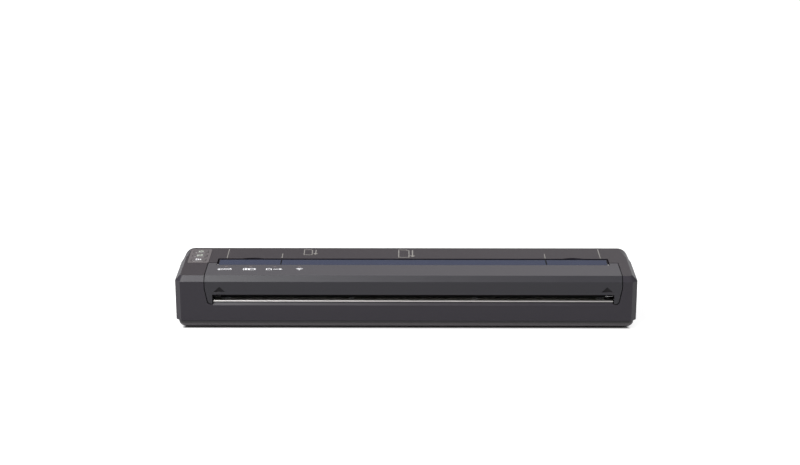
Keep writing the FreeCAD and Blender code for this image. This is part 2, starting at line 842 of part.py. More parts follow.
def platen_shaft():
    shaft = rod_x(shaft_left_x, shaft_right_x, platen_y, platen_z, shaft_radius)
    flat = shaft_flat(shaft_left_x - overrun, gear_right_x + hub_inner_gap)
    x = shaft_right_x - clip_thickness - fixed_fit
    groove = rod_x(x, x + clip_thickness, platen_y, platen_z, shaft_radius + overrun)
    groove = groove.cut(rod_x(x, x + clip_thickness, platen_y, platen_z, shaft_radius * flat_share))
    return cut(shaft, [flat, groove])


def platen_roller():
    tube = rod_x(path_x - half_platen, path_x + half_platen, platen_y, platen_z, platen_radius)
    ends = edges_where(tube, lambda m, d: d.Length < fixed_fit)
    tube = tube.makeChamfer(paper_gap, ends)
    return tube.cut(rod_x(path_x - body_length, path_x + body_length, platen_y, platen_z, shaft_radius))


def platen_bushes():
    sleeve = rod_x(chassis_left_x, chassis_left_in, platen_y, platen_z, bush_radius)
    flange = rod_x(chassis_left_in, chassis_left_in + bush_flange, platen_y, platen_z, bush_flange_radius)
    bush = sleeve.fuse(flange).cut(rod_x(chassis_left_x - overrun, chassis_left_in + overrun, platen_y,
                                         platen_z, shaft_radius + running_fit))
    return group(both_ends(bush.removeSplitter()))


# Gear train at the left end. Angles are measured in the Y-Z plane, from +Y towards +Z.
idler_angle = -15.9
motor_setback = 29.0 * works
motor_rise = 0.2 * works
axle_radius = 1.25 * works
gear_hub = 1.1 * works
hub_inner_gap = 0.3
tooth_addendum_share = 0.85
tooth_dedendum_share = 1.2
tooth_thinning = 0.05 * works
web_depth = 0.9
rim_width = 1.6 * works
pressure_angle = math.radians(20.0)
platen_phase = 0.0
motor_y = platen_y + motor_setback
motor_z = platen_z + motor_rise


def pitch_radius(teeth):
    return gear_module * teeth / 2


def polar(centre, radius, degrees):
    angle = math.radians(degrees)
    return (centre[0] + radius * math.cos(angle), centre[1] + radius * math.sin(angle))


def upper_meeting(first, first_reach, second, second_reach):
    """Point at both reaches from two centres, on the upper side of their line."""
    dy = second[0] - first[0]
    dz = second[1] - first[1]
    span = math.hypot(dy, dz)
    along = (first_reach ** 2 - second_reach ** 2 + span ** 2) / (2 * span)
    rise = math.sqrt(first_reach ** 2 - along ** 2)
    return (first[0] + (along * dy - rise * dz) / span, first[1] + (along * dz + rise * dy) / span)


def meshed_phase(first, first_teeth, first_phase, second, second_teeth):
    """Turn of the second gear at which its gap faces the first gear's tooth."""
    line = math.degrees(math.atan2(second[1] - first[1], second[0] - first[0]))
    pitch = 360.0 / first_teeth
    offset = (first_phase - line + pitch / 2) % pitch - pitch / 2
    return line + 180.0 + 180.0 / second_teeth - offset * first_teeth / second_teeth


platen_centre = (platen_y, platen_z)
motor_centre = (motor_y, motor_z)
idler_centre = polar(platen_centre, pitch_radius(platen_teeth + idler_teeth), idler_angle)
reduction_centre = upper_meeting(idler_centre, pitch_radius(idler_teeth + reduction_small_teeth),
                                 motor_centre, pitch_radius(reduction_large_teeth + pinion_teeth))
idler_phase = meshed_phase(platen_centre, platen_teeth, platen_phase, idler_centre, idler_teeth)
small_phase = meshed_phase(idler_centre, idler_teeth, idler_phase, reduction_centre, reduction_small_teeth)
large_phase = platen_phase
pinion_phase = meshed_phase(reduction_centre, reduction_large_teeth, large_phase, motor_centre, pinion_teeth)


def involute(angle):
    return math.tan(angle) - angle


def toothed_wheel(centre, teeth, x0, x1, phase):
    """Spur wheel whose flanks follow the involute of its base circle."""
    pitch = pitch_radius(teeth)
    base = pitch * math.cos(pressure_angle)
    tip = pitch + gear_module * tooth_addendum_share
    root = pitch - gear_module * tooth_dedendum_share
    half_pitch = math.pi / (2 * teeth) - tooth_thinning / pitch + involute(pressure_angle)
    radii = [root, max(base, pitch - gear_module / 2), tip]
    halves = [math.degrees(half_pitch - involute(math.acos(min(1.0, base / r)))) for r in radii]
    points = []
    for i in range(teeth):
        turn = phase + 360.0 * i / teeth
        for r, half in zip(radii, halves):
            points.append(polar(centre, r, turn - half))
        for r, half in zip(reversed(radii), reversed(halves)):
            points.append(polar(centre, r, turn + half))
    return along_x(x0, x1, points[0], *points[1:])


def platen_gear():
    wheel = toothed_wheel(platen_centre, platen_teeth, gear_left_x, gear_right_x, platen_phase)
    hub = rod_x(gear_right_x - gear_width, gear_right_x + hub_inner_gap, platen_y, platen_z,
                shaft_radius + gear_hub)
    bore = rod_x(gear_left_x - overrun, gear_right_x + overrun, platen_y, platen_z,
                 shaft_radius + fixed_fit)
    keep = shaft_flat(gear_left_x - overrun, gear_right_x + overrun)
    web = web_recess(platen_centre, platen_teeth, gear_left_x, shaft_radius + gear_hub)
    return cut(wheel.fuse(hub), [bore.cut(keep), web])


def web_recess(centre, teeth, x, hub_radius):
    """Ring-shaped hollow in the outer face of a wheel, between hub and rim."""
    rim = pitch_radius(teeth) - gear_module * tooth_dedendum_share - rim_width
    ring = rod_x(x - overrun, x + web_depth, centre[0], centre[1], rim)
    return ring.cut(rod_x(x - overrun, x + web_depth, centre[0], centre[1], hub_radius))


def idler_gear():
    y, z = idler_centre
    wheel = toothed_wheel(idler_centre, idler_teeth, gear_left_x, gear_right_x, idler_phase)
    hub = rod_x(gear_left_x, chassis_left_x - hub_inner_gap, y, z, axle_radius + gear_hub)
    bore = rod_x(gear_left_x - overrun, chassis_left_x, y, z, axle_radius + running_fit)
    web = web_recess(idler_centre, idler_teeth, gear_left_x, axle_radius + gear_hub)
    return cut(wheel.fuse(hub), [bore, web])


def reduction_gear():
    y, z = reduction_centre
    small = toothed_wheel(reduction_centre, reduction_small_teeth, far_gear_right_x, gear_right_x,
                          small_phase)
    large = toothed_wheel(reduction_centre, reduction_large_teeth, far_gear_left_x, far_gear_right_x,
                          large_phase)
    hub = rod_x(gear_right_x, chassis_left_x - hub_inner_gap, y, z, axle_radius + gear_hub)
    bore = rod_x(far_gear_left_x - overrun, chassis_left_x, y, z, axle_radius + running_fit)
    web = web_recess(reduction_centre, reduction_large_teeth, far_gear_left_x, axle_radius + gear_hub)
    return cut(small.fuse([large, hub]), [bore, web])


def axle_end(x):
    return x - hub_inner_gap - clip_thickness - hub_inner_gap


def gear_axles():
    """Two steel pins pressed into the chassis wall, each with a groove for its clip."""
    pins = []
    for (y, z), wheel_x in ((idler_centre, gear_left_x), (reduction_centre, far_gear_left_x)):
        pin = rod_x(axle_end(wheel_x), chassis_left_in, y, z, axle_radius)
        x = wheel_x - hub_inner_gap - clip_thickness
        groove = rod_x(x, x + clip_thickness, y, z, axle_radius + overrun)
        pins.append(cut(pin, [groove.cut(rod_x(x, x + clip_thickness, y, z, axle_radius * flat_share))]))
    return group(pins)


def retaining_clip(x, y, z, radius, outer):
    """Open ring clip seated in the groove of a shaft."""
    ring = rod_x(x, x + clip_thickness, y, z, outer)
    mouth = radius * flat_share
    gap = block(x - overrun, x + overrun, y - mouth, y + mouth, z, z + outer + overrun)
    return ring.cut([rod_x(x - overrun, x + overrun, y, z, mouth), gap])


def axle_clips():
    clips = []
    for (y, z), wheel_x in ((idler_centre, gear_left_x), (reduction_centre, far_gear_left_x)):
        clips.append(retaining_clip(wheel_x - hub_inner_gap - clip_thickness, y, z, axle_radius,
                                    axle_radius + gear_hub))
    return group(clips)


def shaft_clip():
    x = shaft_right_x - clip_thickness - fixed_fit
    return retaining_clip(x, platen_y, platen_z, shaft_radius, clip_radius)


# Drive motor behind the platen, on the inner side of the chassis wall.
motor_radius = 9.0 * works
motor_length = 15.0
motor_plate = 1.0
motor_boss_radius = 3.0 * works
motor_shaft_radius = 1.0 * works
motor_shaft_depth = 5.0
motor_ear_radius = 2.0
motor_ear_margin = 0.05
motor_rim = 0.8 * works
motor_terminal = 3.0 * works
motor_room = 0.5
motor_ear_reach = motor_radius + screw_head_radius + motor_ear_margin


def motor_clearance():
    """Room that the chassis floor and the ribs under it leave round the motor and its ears."""
    x0 = chassis_left_in
    x1 = x0 + motor_plate
    can = rod_x(x0, x1 + motor_length + motor_room, motor_y, motor_z, motor_radius + motor_room)
    ears = [rod_x(x0, x1 + screw_head_depth + motor_room, y, z, screw_head_radius + motor_room)
            for y, z in motor_ear_places()]
    return [can] + ears


def motor_ear_places():
    return [polar(motor_centre, motor_ear_reach, angle) for angle in (45.0, 225.0)]


def drive_motor():
    x0 = chassis_left_in
    x1 = x0 + motor_plate
    can = rod_x(x1, x1 + motor_length, motor_y, motor_z, motor_radius)
    rear = edges_where(can, lambda m, d: d.Length < fixed_fit and m.x > x1 + fixed_fit)
    can = can.makeChamfer(motor_rim, rear)
    ears = rod_x(x0, x1, motor_y, motor_z, motor_radius)
    for y, z in motor_ear_places():
        ears = ears.fuse(rod_x(x0, x1, y, z, motor_ear_radius))
    boss = rod_x(chassis_left_x + fixed_fit, x0, motor_y, motor_z, motor_boss_radius)
    terminal = block(x1 + motor_length - motor_terminal - motor_rim, x1 + motor_length - motor_rim,
                     motor_y - motor_terminal, motor_y + motor_terminal, motor_z,
                     motor_z + motor_radius + motor_rim)
    tools = [rod_x(chassis_left_x, x1 + motor_shaft_depth, motor_y, motor_z,
                   motor_shaft_radius + running_fit)]
    for y, z in motor_ear_places():
        tools.append(rod_x(x0 - overrun, x1 + overrun, y, z, screw_radius + fixed_fit))
    return cut(can.fuse([ears, boss, terminal]), tools)


def motor_screws():
    screws = []
    for y, z in motor_ear_places():
        lying = screw(0, 0, 0, motor_plate + chassis_wall, -1)
        lying.rotate(V(0, 0, 0), V(0, 1, 0), 90)
        lying.translate(V(chassis_left_in + motor_plate + screw_head_depth, y, z))
        screws.append(lying)
    return group(screws)


def motor_shaft():
    return rod_x(far_gear_left_x, chassis_left_in + motor_plate + motor_shaft_depth - running_fit,
                 motor_y, motor_z, motor_shaft_radius)


def motor_pinion():
    wheel = toothed_wheel(motor_centre, pinion_teeth, far_gear_left_x, far_gear_right_x, pinion_phase)
    hub = rod_x(far_gear_right_x, gear_right_x, motor_y, motor_z, motor_shaft_radius + gear_hub)
    return cut(wheel.fuse(hub), [rod_x(far_gear_left_x - overrun, gear_right_x + overrun, motor_y, motor_z,
                                       motor_shaft_radius)])


# Paper guide and paper sensor, on the chassis floor behind the platen.
guide_foot_inset = 0.7
guide_rib_count = 6
guide_rib_end_share = 0.85
guide_rib_thickness = 1.2
sensor_length = 7.0
sensor_width = 5.0
sensor_height = 3.2
sensor_setback = 9.8 * works
sensor_post = 3.0
sensor_window = 4.0


sensor_y = platen_y + sensor_setback


def paper_guide():
    outer = guide_radius + guide_thickness
    skin = guide_sector(path_x - half_guide, path_x + half_guide, guide_radius, outer)
    ribs = []
    half = guide_rib_thickness / 2
    reach = half_guide * guide_rib_end_share
    for x in spread(guide_rib_count, path_x - reach, path_x + reach):
        rib = block(x - half, x + half, guide_y + guide_foot_inset, guide_y + guide_radius,
                    chassis_z + chassis_floor, guide_z - guide_thickness)
        ribs.append(rib.cut(rod_x(x - half, x + half, guide_y, guide_z, guide_radius + guide_thickness / 2)))
    window = block(path_x - sensor_window / 2, path_x + sensor_window / 2, sensor_y - sensor_width / 4,
                   sensor_y + sensor_width / 4, chassis_z, guide_z - guide_radius / 2)
    return cut(fused([skin] + ribs), [window])


def paper_sensor():
    low = chassis_z + chassis_floor
    drop = math.sqrt((guide_radius + guide_thickness) ** 2 - (sensor_y - sensor_width / 2 - guide_y) ** 2)
    high = guide_z - drop - cheek_clearance
    head = block(path_x - sensor_length / 2, path_x + sensor_length / 2, sensor_y - sensor_width / 2,
                 sensor_y + sensor_width / 2, high - sensor_height, high)
    post = block(path_x - sensor_post / 2, path_x + sensor_post / 2, sensor_y - sensor_post / 2,
                 sensor_y + sensor_post / 2, low, high - sensor_height)
    return fused([head, post])


# Release cover: one moulding with front, top and two end walls, which lifts to free jammed paper.
end_wall_thickness = 2.0
end_wall_foot = 5.0 * works
end_wall_rise = 2.1 * works
tongue_wall = 2.5
tongue_wall_reach = 6.5 * works
tongue_wall_depth = 5.6 * works
tongue_boss_radius = 2.6 * works
lintel_shelf = 3.0
lintel_thickness = 1.2
cover_rib_count = 5
cover_rib_inset = 12.0
mark_width = 6.4
mark_height = 3.1 * works
mark_depth = 0.6
mark_inset = 3.9
mark_rise = 1.5 * works
strip_reach = 6.0 * works
strip_thickness = 1.0
strip_play = 0.15
strip_edge_radius = 0.7
led_count = 4
led_inset = 6.3
led_pitch = 13.6
led_reach = 9.5 * works
led_radius = 0.9
led_flange = 0.5
led_flange_thickness = 0.4
led_proud = 0.05
half_strip = half_tongue - strip_play - strip_play
led_y = hinge_y - led_reach
led_xs = [path_x - half_slot + led_inset + led_pitch * i for i in range(led_count)]
mark_z = lintel_z + mark_rise
strip_front_y = hinge_y - strip_reach
tongue_wall_front = hinge_y - tongue_wall_reach


def snap_cone(x, grow):
    """Shallow cone on the cover's end that clicks into the chassis; grown, it is the chassis dimple."""
    base = detent_radius + grow
    depth = detent_proud + grow + detent_radius / 2
    tip = V(x - detent_proud - grow, detent_y, detent_z)
    return Part.makeCone(base / 2, base + detent_proud, depth, tip, V(1, 0, 0))


def cover_end():
    """Left end wall of the cover, hollowed round the hinge cheek, with its snap bump."""
    x = path_x - half_cover
    foot = -half_depth + wall + end_wall_foot
    low = lintel_z + end_wall_rise
    wall_plate = along_x(x, x + end_wall_thickness, (-half_depth, ear_z), (foot, ear_z),
                         (tongue_wall_front, low), (cover_reach_y, low), (cover_reach_y, top_z),
                         (-half_depth, top_z))
    wall_plate = wall_plate.common(body_solid()).common(cover_field(0))
    return wall_plate.fuse(snap_cone(x, 0))


def tongue_end():
    """Wall at the end of the tongue that turns on the hinge pin."""
    x = path_x - half_tongue
    plate = block(x, x + tongue_wall, tongue_wall_front, inlet_front_y, top_z - tongue_wall_depth,
                  ceiling_z + fixed_fit)
    plate = plate.makeFillet(tongue_boss_radius, edges_where(
        plate, lambda m, d: m.z < hinge_z - tongue_boss_radius and m.y > hinge_y and abs(d.x) > fixed_fit))
    return plate


def release_cover():
    field = cover_field(0).fuse(tongue(half_tongue, inlet_front_y))
    shell = body_solid().common(field)
    mouth = block(path_x - half_slot - strip_play, path_x + half_slot + strip_play, -body_depth,
                  body_depth, 0, lintel_z)
    shell = shell.cut([cavity(), mouth])
    added = both_ends(cover_end()) + both_ends(tongue_end())
    x0 = path_x - half_slot
    x1 = path_x + half_slot
    face = -half_depth + wall - fixed_fit
    added.append(block(x0, x1, face, face + lintel_shelf, lintel_z, lintel_z + lintel_thickness))
    inner = guide_radius - inlet_width - guide_thickness
    outer = guide_radius - inlet_width
    added.append(guide_sector(path_x - half_guide, path_x + half_guide, inner, outer))
    added.append(block(path_x - half_guide, path_x + half_guide, guide_y + inner, guide_y + outer,
                       guide_z - fixed_fit, ceiling_z + fixed_fit))
    half = hold_rib_thickness / 2
    rib_reach = half_guide - cover_rib_inset
    for x in spread(cover_rib_count, path_x - rib_reach, path_x + rib_reach):
        disc = rod_x(x - half, x + half, guide_y, guide_z, inner + fixed_fit)
        added.append(disc.common(block(x - half, x + half, guide_y, half_depth, 0, guide_z)))
        added.append(block(x - half, x + half, guide_y, guide_y + inner, guide_z - fixed_fit,
                           ceiling_z + fixed_fit))
        added.append(along_x(x - half, x + half, (face, lintel_z + lintel_thickness - fixed_fit),
                             (face + lintel_shelf, lintel_z + lintel_thickness - fixed_fit),
                             (face + lintel_shelf, ceiling_z + fixed_fit),
                             (face, ceiling_z - front_edge_chamfer)))
    for x, y in bracket_screw_places():
        added.append(rod_z(x, y, bracket_top_z, ceiling_z + fixed_fit, boss_radius))
    tools = []
    for side in (-1, 1):
        near = path_x + side * (half_tongue - overrun / 2)
        far = path_x + side * (half_cover + overrun)
        nose = path_x + side * half_tongue
        a, b = sorted((nose, far))
        tools.append(rod_x(a, b, hinge_y, hinge_z, cheek_radius + nose_clearance))
        a, b = sorted((nose, nose + side * cheek_gap))
        tools.append(block(a, b, cover_reach_y - notch_length, half_depth, hinge_z - cheek_radius,
                           top_z + overrun))
        a, b = sorted((near - side * tongue_wall * overrun, far))
        tools.append(rod_x(a, b, hinge_y, hinge_z, hinge_pin_radius + running_fit))
        tools.append(lift_mark(side))
    tools.append(block(path_x - half_strip - strip_play, path_x + half_strip + strip_play, strip_front_y,
                       inlet_front_y + overrun, top_z - strip_thickness, top_z + overrun))
    for x in led_xs:
        tools.append(rod_z(x, led_y, ceiling_z - overrun, top_z + overrun, led_radius + fixed_fit))
    for x, y in bracket_screw_places():
        tools.append(rod_z(x, y, bracket_top_z - fixed_fit, ceiling_z + wall / 2, boss_hole_radius))
    return cut(fused([shell] + added), tools)


def lift_mark(side):
    """Shallow triangle, point up, that shows where to lift the cover."""
    x = path_x + side * (half_slot - mark_inset)
    front = -half_depth - overrun
    half = mark_width / 2
    return along_y(front, -half_depth + mark_depth, (x - half, mark_z), (x + half, mark_z),
                   (x, mark_z + mark_height))


def cover_trim_strip():
    strip = block(path_x - half_strip, path_x + half_strip, strip_front_y + strip_play, inlet_front_y,
                  top_z - strip_thickness, top_z)
    lead = edges_where(strip, lambda m, d: m.z > top_z - fixed_fit and m.y > inlet_front_y - fixed_fit)
    return strip.makeFillet(strip_edge_radius, lead)


def hinge_pins():
    far = path_x - half_cover
    near = path_x - half_tongue + tongue_wall
    return group(both_ends(rod_x(far + chassis_gap, near, hinge_y, hinge_z, hinge_pin_radius)))


def led_light_pipes():
    pipes = []
    for x in led_xs:
        pipe = rod_z(x, led_y, ceiling_z - led_flange_thickness, top_z + led_proud, led_radius)
        flange = rod_z(x, led_y, ceiling_z - led_flange_thickness, ceiling_z, led_radius + led_flange)
        pipes.append(fused([pipe, flange]))
    return group(pipes)


# Indicator board: thin circuit board under the light pipes, one lamp under each.
indicator_thickness = 0.4
indicator_margin = 3.0
indicator_depth = 5.0 * works
lamp_size = 1.0
lamp_height = 0.3
indicator_z = ceiling_z - led_flange_thickness - lamp_height - indicator_thickness


def indicator_board():
    half = indicator_depth / 2
    board = soft_block(led_xs[0] - lamp_size, led_xs[-1] + indicator_margin, led_y - half, led_y + half,
                       indicator_z, indicator_z + indicator_thickness, lamp_size / 2)
    lamps = [block(x - lamp_size / 2, x + lamp_size / 2, led_y - lamp_size / 2, led_y + lamp_size / 2,
                   indicator_z + indicator_thickness, indicator_z + indicator_thickness + lamp_height)
             for x in led_xs]
    return fused([board] + lamps)


# Print head: ceramic heater strip under an aluminium heat sink, pressed down on the platen.
head_width = 10.4 * works
head_thickness = 1.2
head_end_gap = 1.0
heater_bead = 0.9
sink_width = 11.2 * works
sink_height = 2.8 * works
sink_end = 3.0
sink_groove_width = 2.0 * works
sink_groove_depth = 1.3
sink_groove_inset = 2.2 * works
head_travel = 0.5
head_z = platen_z + platen_radius + paper_gap
sink_z = head_z + head_thickness
sink_top_z = sink_z + sink_height
half_head = paper_width / 2 - head_end_gap
half_sink = half_platen + head_end_gap


def print_head():
    strip = block(path_x - half_head, path_x + half_head, platen_y - head_width / 2,
                  platen_y + head_width / 2, head_z, sink_z)
    lead = edges_where(strip, lambda m, d: m.z < head_z + fixed_fit and abs(d.x) > half_head)
    return strip.makeChamfer(head_thickness / 2, lead)


def heat_sink():
    bar = block(path_x - half_sink, path_x + half_sink, platen_y - sink_width / 2, platen_y + sink_width / 2,
                sink_z, sink_top_z)
    tools = []
    for side in (-1, 1):
        y = platen_y + side * sink_groove_inset
        tools.append(block(path_x - half_head + boss_radius, path_x + half_head - boss_radius,
                           y - sink_groove_width / 2,
                           y + sink_groove_width / 2, sink_top_z - sink_groove_depth, sink_top_z + overrun))
        x = path_x + side * head_pin_offset
        tools.append(rod_z(x, platen_y, sink_z - overrun, sink_top_z + overrun,
                           head_pin_radius + running_fit))
    return cut(bar, tools)


# Head bracket: folded steel channel under the cover, with guide pins and leaf springs for the head.
bracket_depth = 12.0 * works
bracket_thickness = 1.0
bracket_flange = 1.6 * works
bracket_drop = 1.6 * works
bracket_screw_length = 3.0
head_pin_radius = 1.2
head_pin_inset = 0.8
head_pin_head_radius = 1.6
head_pin_head = 0.8
spring_length = 22.0
spring_width = 5.0 * works
spring_thickness = 0.4
spring_foot = 0.8
spring_shares = (-0.75, -0.26, 0.26, 0.75)
bracket_screw_shares = (-0.9, -0.47, 0.47, 0.9)
bracket_screw_reach = 2.6 * works
head_pin_offset = half_platen - head_pin_inset
bracket_top_z = ceiling_z - bracket_drop
bracket_low_z = bracket_top_z - bracket_thickness


def bracket_screw_places():
    return [(path_x + share * half_sink, platen_y - bracket_screw_reach) for share in bracket_screw_shares]


def head_bracket():
    y0 = platen_y - bracket_depth / 2
    y1 = platen_y + bracket_depth / 2
    low = bracket_low_z - bracket_flange
    t = bracket_thickness
    channel = along_x(path_x - half_sink, path_x + half_sink, (y0, low), (y0, bracket_top_z),
                      (y1, bracket_top_z), (y1, low), (y1 - t, low), (y1 - t, bracket_low_z),
                      (y0 + t, bracket_low_z), (y0 + t, low))
    folds = edges_where(channel, lambda m, d: m.z > bracket_top_z - fixed_fit and abs(d.x) > half_sink)
    channel = channel.makeFillet(t / 2, folds)
    tools = []
    for x, y in bracket_screw_places():
        tools.append(rod_z(x, y, low, top_z, screw_radius + fixed_fit))
    for side in (-1, 1):
        tools.append(rod_z(path_x + side * head_pin_offset, platen_y, low, top_z,
                           head_pin_radius + fixed_fit))
    return cut(channel, tools)


def bracket_screws():
    return group([screw(x, y, bracket_low_z - screw_head_depth, bracket_screw_length, 1)
                  for x, y in bracket_screw_places()])


def head_pins():
    pins = []
    for side in (-1, 1):
        x = path_x + side * head_pin_offset
        pin = rod_z(x, platen_y, head_z + head_pin_head / 2, bracket_top_z + head_pin_head, head_pin_radius)
        head = rod_z(x, platen_y, head_z + fixed_fit, sink_z - running_fit, head_pin_head_radius)
        pins.append(fused([pin, head]))
    return group(pins)


def head_springs():
    """Bowed leaf springs between the heat sink and the bracket."""
    springs = []
    low = sink_top_z + running_fit
    high = bracket_low_z
    t = spring_thickness
    foot = spring_foot
    for share in spring_shares:
        x = path_x + share * half_sink
        half = spring_length / 2
        springs.append(along_y(platen_y - spring_width / 2, platen_y + spring_width / 2, (x - half, low),
                               ((x, high), (x + half, low)), (x + half - foot, low),
                               ((x, high - t), (x - half + foot, low)), (x - half, low)))
    return group(springs)


# Key panel, keys and the key board below them.
key_board_thickness = 0.8
key_board_drop = 3.0 * works
key_board_length = 11.0
key_board_end = 3.0
switch_length = 4.4
switch_width = 3.4 * works
switch_height = 1.1
switch_button_radius = 1.0
switch_gap = 0.15
key_stop_gap = 0.1
post_radius = 1.1
post_pin_radius = 0.5
post_offset = 5.8
key_board_z = ceiling_z - key_board_drop - key_board_thickness
key_low_z = ceiling_z - key_stop_gap - key_flange_thickness
post_x = key_x - post_offset
post_ys = [key_first_y + key_pitch * (i + 1 / 2) for i in range(2)]


def key_panel():
    x0 = key_x - panel_length / 2 + strip_play
    x1 = key_x + panel_length / 2 - strip_play
    y0 = panel_y - panel_width / 2 + strip_play
    y1 = panel_y + panel_width / 2 - strip_play
    plate = soft_block(x0, x1, y0, y1, top_z - panel_thickness, top_z, panel_corner)
    return cut(plate, [key_column(y, ceiling_z, top_z + overrun, key_play) for y in key_ys])


def key(y):
    """Key cap with the flange that holds it under the casing."""
    cap = key_column(y, key_low_z, top_z + key_proud, 0)
    crown = edges_where(cap, lambda m, d: m.z > top_z + key_proud - fixed_fit)
    cap = cap.makeChamfer(key_proud, crown)
    flange = key_column(y, key_low_z, key_low_z + key_flange_thickness, key_flange)
    return fused([cap, flange])


def key_board():
    x1 = chassis_left_x - chassis_gap
    x0 = x1 - key_board_length
    y0 = panel_y - panel_width / 2 + key_flange
    y1 = panel_y + panel_width / 2 - key_flange
    board = block(x0, x1, y0, y1, key_board_z, key_board_z + key_board_thickness)
    return cut(board, [rod_z(post_x, y, 0, top_z, post_pin_radius + fixed_fit) for y in post_ys])


def key_switches():
    switches = []
    low = key_board_z + key_board_thickness
    for y in key_ys:
        body = block(key_x - switch_length / 2, key_x + switch_length / 2, y - switch_width / 2,
                     y + switch_width / 2, low, low + switch_height)
        button = rod_z(key_x, y, low + switch_height, key_low_z - key_travel - switch_gap,
                       switch_button_radius)
        switches.append(body.fuse(button))
    return group(switches)


def key_posts():
    """Posts under the casing's top that the key board is pressed on."""
    posts = []
    for y in post_ys:
        post = rod_z(post_x, y, key_board_z + key_board_thickness, ceiling_z + fixed_fit, post_radius)
        pin = rod_z(post_x, y, key_board_z - key_board_thickness / 2, ceiling_z, post_pin_radius)
        posts.append(post.fuse(pin))
    return posts


# Main board in the right rear corner, with its sockets and parts.
board_lift = 4.8 * works
board_thickness = 1.2
board_inset_left = 31.1
board_right_gap = 0.5
board_rear_gap = 1.5
board_front_gap = 0.9
board_ear_reach = 6.4 * works
board_ear_inset = 14.9
board_left = half_length - board_inset_left
board_ear_left = half_length - board_ear_inset
board_rear_y = inner_y - board_rear_gap
board_front_y = battery_front_y - board_front_gap
board_ear_front_y = board_front_y - board_ear_reach
board_z = floor_z + board_lift
board_top_z = board_z + board_thickness
board_right = pocket_face_x - pocket_plate - board_right_gap


def board_screw_places():
    inset = screw_head_radius + bay_wall
    return [(board_left + inset, board_front_y + inset), (board_ear_left - inset, board_rear_y - inset)]


def main_board():
    boss_x = boss_places[-1][0] - boss_radius - bay_room
    boss_y = boss_places[-1][1] - boss_radius - bay_room
    board = along_z(board_z, board_top_z, (board_left, board_front_y), (board_ear_left, board_front_y),
                    (board_ear_left, board_ear_front_y), (board_right, board_ear_front_y),
                    (board_right, boss_y), (boss_x, boss_y), (boss_x, board_rear_y),
                    (board_left, board_rear_y))
    tools = [rod_z(x, y, 0, top_z, screw_radius + fixed_fit) for x, y in board_screw_places()]
    return cut(board, tools)


def board_screws():
    return group([screw(x, y, board_top_z + screw_head_depth, short_screw_length, -1)
                  for x, y in board_screw_places()])


chip_size = 7.0 * works
chip_height = 1.2
chip_inset_x = 8.6
chip_inset_y = 9.2 * works
coil_radius = 2.6 * works
coil_height = 3.2
coil_inset_x = 5.1
coil_inset_y = 3.2
cable_socket_length = 9.0
cable_socket_width = 2.6
cable_socket_height = 3.0
chip_x = board_left + chip_inset_x
chip_y = board_rear_y - chip_inset_y
coil_x = board_left + coil_inset_x
coil_y = board_rear_y - coil_inset_y


def board_parts():
    """Processor, choke coil and the flat-cable socket of the print head."""
    low = board_top_z
    chip = block(chip_x - chip_size / 2, chip_x + chip_size / 2, chip_y - chip_size / 2,
                 chip_y + chip_size / 2, low, low + chip_height)
    coil = rod_z(coil_x, coil_y, low, low + coil_height, coil_radius)
    x0 = chip_x - cable_socket_length / 2 + bay_wall
    socket = block(x0, x0 + cable_socket_length, board_front_y + bay_wall,
                   board_front_y + bay_wall + cable_socket_width, low, low + cable_socket_height)
    return group([chip, coil, socket])


jack_length = 10.4
jack_width = 8.6 * works
jack_pin_radius = 1.0
jack_depth = 9.0
usb_length = 7.6
usb_shell = 0.4
usb_tongue = 0.7


def dc_jack():
    x1 = board_right
    body = block(x1 - jack_length, x1, jack_y - jack_width / 2, jack_y + jack_width / 2, board_top_z,
                 jack_z + jack_width / 2)
    bore = rod_x(x1 - jack_depth, x1 + overrun, jack_y, jack_z, jack_bore_radius - bay_room)
    pin = rod_x(x1 - jack_depth - fixed_fit, x1 - usb_tongue, jack_y, jack_z, jack_pin_radius)
    return fused([body.cut(bore), pin])


def usb_socket():
    x1 = board_right
    x0 = x1 - usb_length
    shell = soft_x(x0, x1, usb_y, usb_z, usb_mouth_length + usb_shell, usb_mouth_height + usb_shell)
    room = soft_x(x0 + usb_shell, x1 + overrun, usb_y, usb_z, usb_mouth_length - usb_shell,
                  usb_mouth_height - usb_shell)
    inner = usb_mouth_length / 2 - usb_tongue
    tongue_plate = block(x0, x1 - usb_tongue, usb_y - inner, usb_y + inner, usb_z - usb_tongue / 2,
                         usb_z + usb_tongue / 2)
    foot = block(x0, x1, usb_y - inner, usb_y + inner, board_top_z, usb_z - usb_mouth_height / 2)
    return fused([shell.cut(room), tongue_plate, foot])


# Port cover: rubber flap with its pin at the rear, let into the right end.
flap_seam = 0.3
flap_thickness = 1.5
flap_knuckle_radius = 0.75
flap_pin_radius = 0.4
flap_pin_reach = 0.8
flap_lip = 1.2
flap_lip_depth = 0.35
flap_hinge_x = half_length - flap_knuckle_radius
flap_hinge_y = port_rear_y - flap_seam - flap_knuckle_radius


def port_cover():
    low = port_low_z + flap_seam
    high = port_high_z - flap_seam
    plate = block(half_length - flap_thickness, half_length, port_front_y + flap_seam, flap_hinge_y,
                  low, high)
    knuckle = rod_z(flap_hinge_x, flap_hinge_y, low, high, flap_knuckle_radius)
    pin = rod_z(flap_hinge_x, flap_hinge_y, port_low_z - flap_pin_reach, port_high_z + flap_pin_reach,
                flap_pin_radius)
    y = port_front_y + flap_seam
    grip = block(half_length - flap_lip_depth, half_length + overrun, y - overrun, y + flap_lip, low, high)
    return cut(fused([plate, knuckle, pin]), [grip])


def flap_pin_hole():
    return rod_z(flap_hinge_x, flap_hinge_y, port_low_z - flap_pin_reach - flap_seam,
                 port_high_z + flap_pin_reach + flap_seam, flap_pin_radius + running_fit)


# Battery pack of three cells in a row, and the leaf contacts at its left end.
contact_depth = 1.6
contact_width = 3.0 * works
contact_height = 9.0 * works
contact_pitch = 5.0 * works
contact_base = 0.4
cell_count = 3
cell_groove = 0.4
cell_groove_width = 1.0


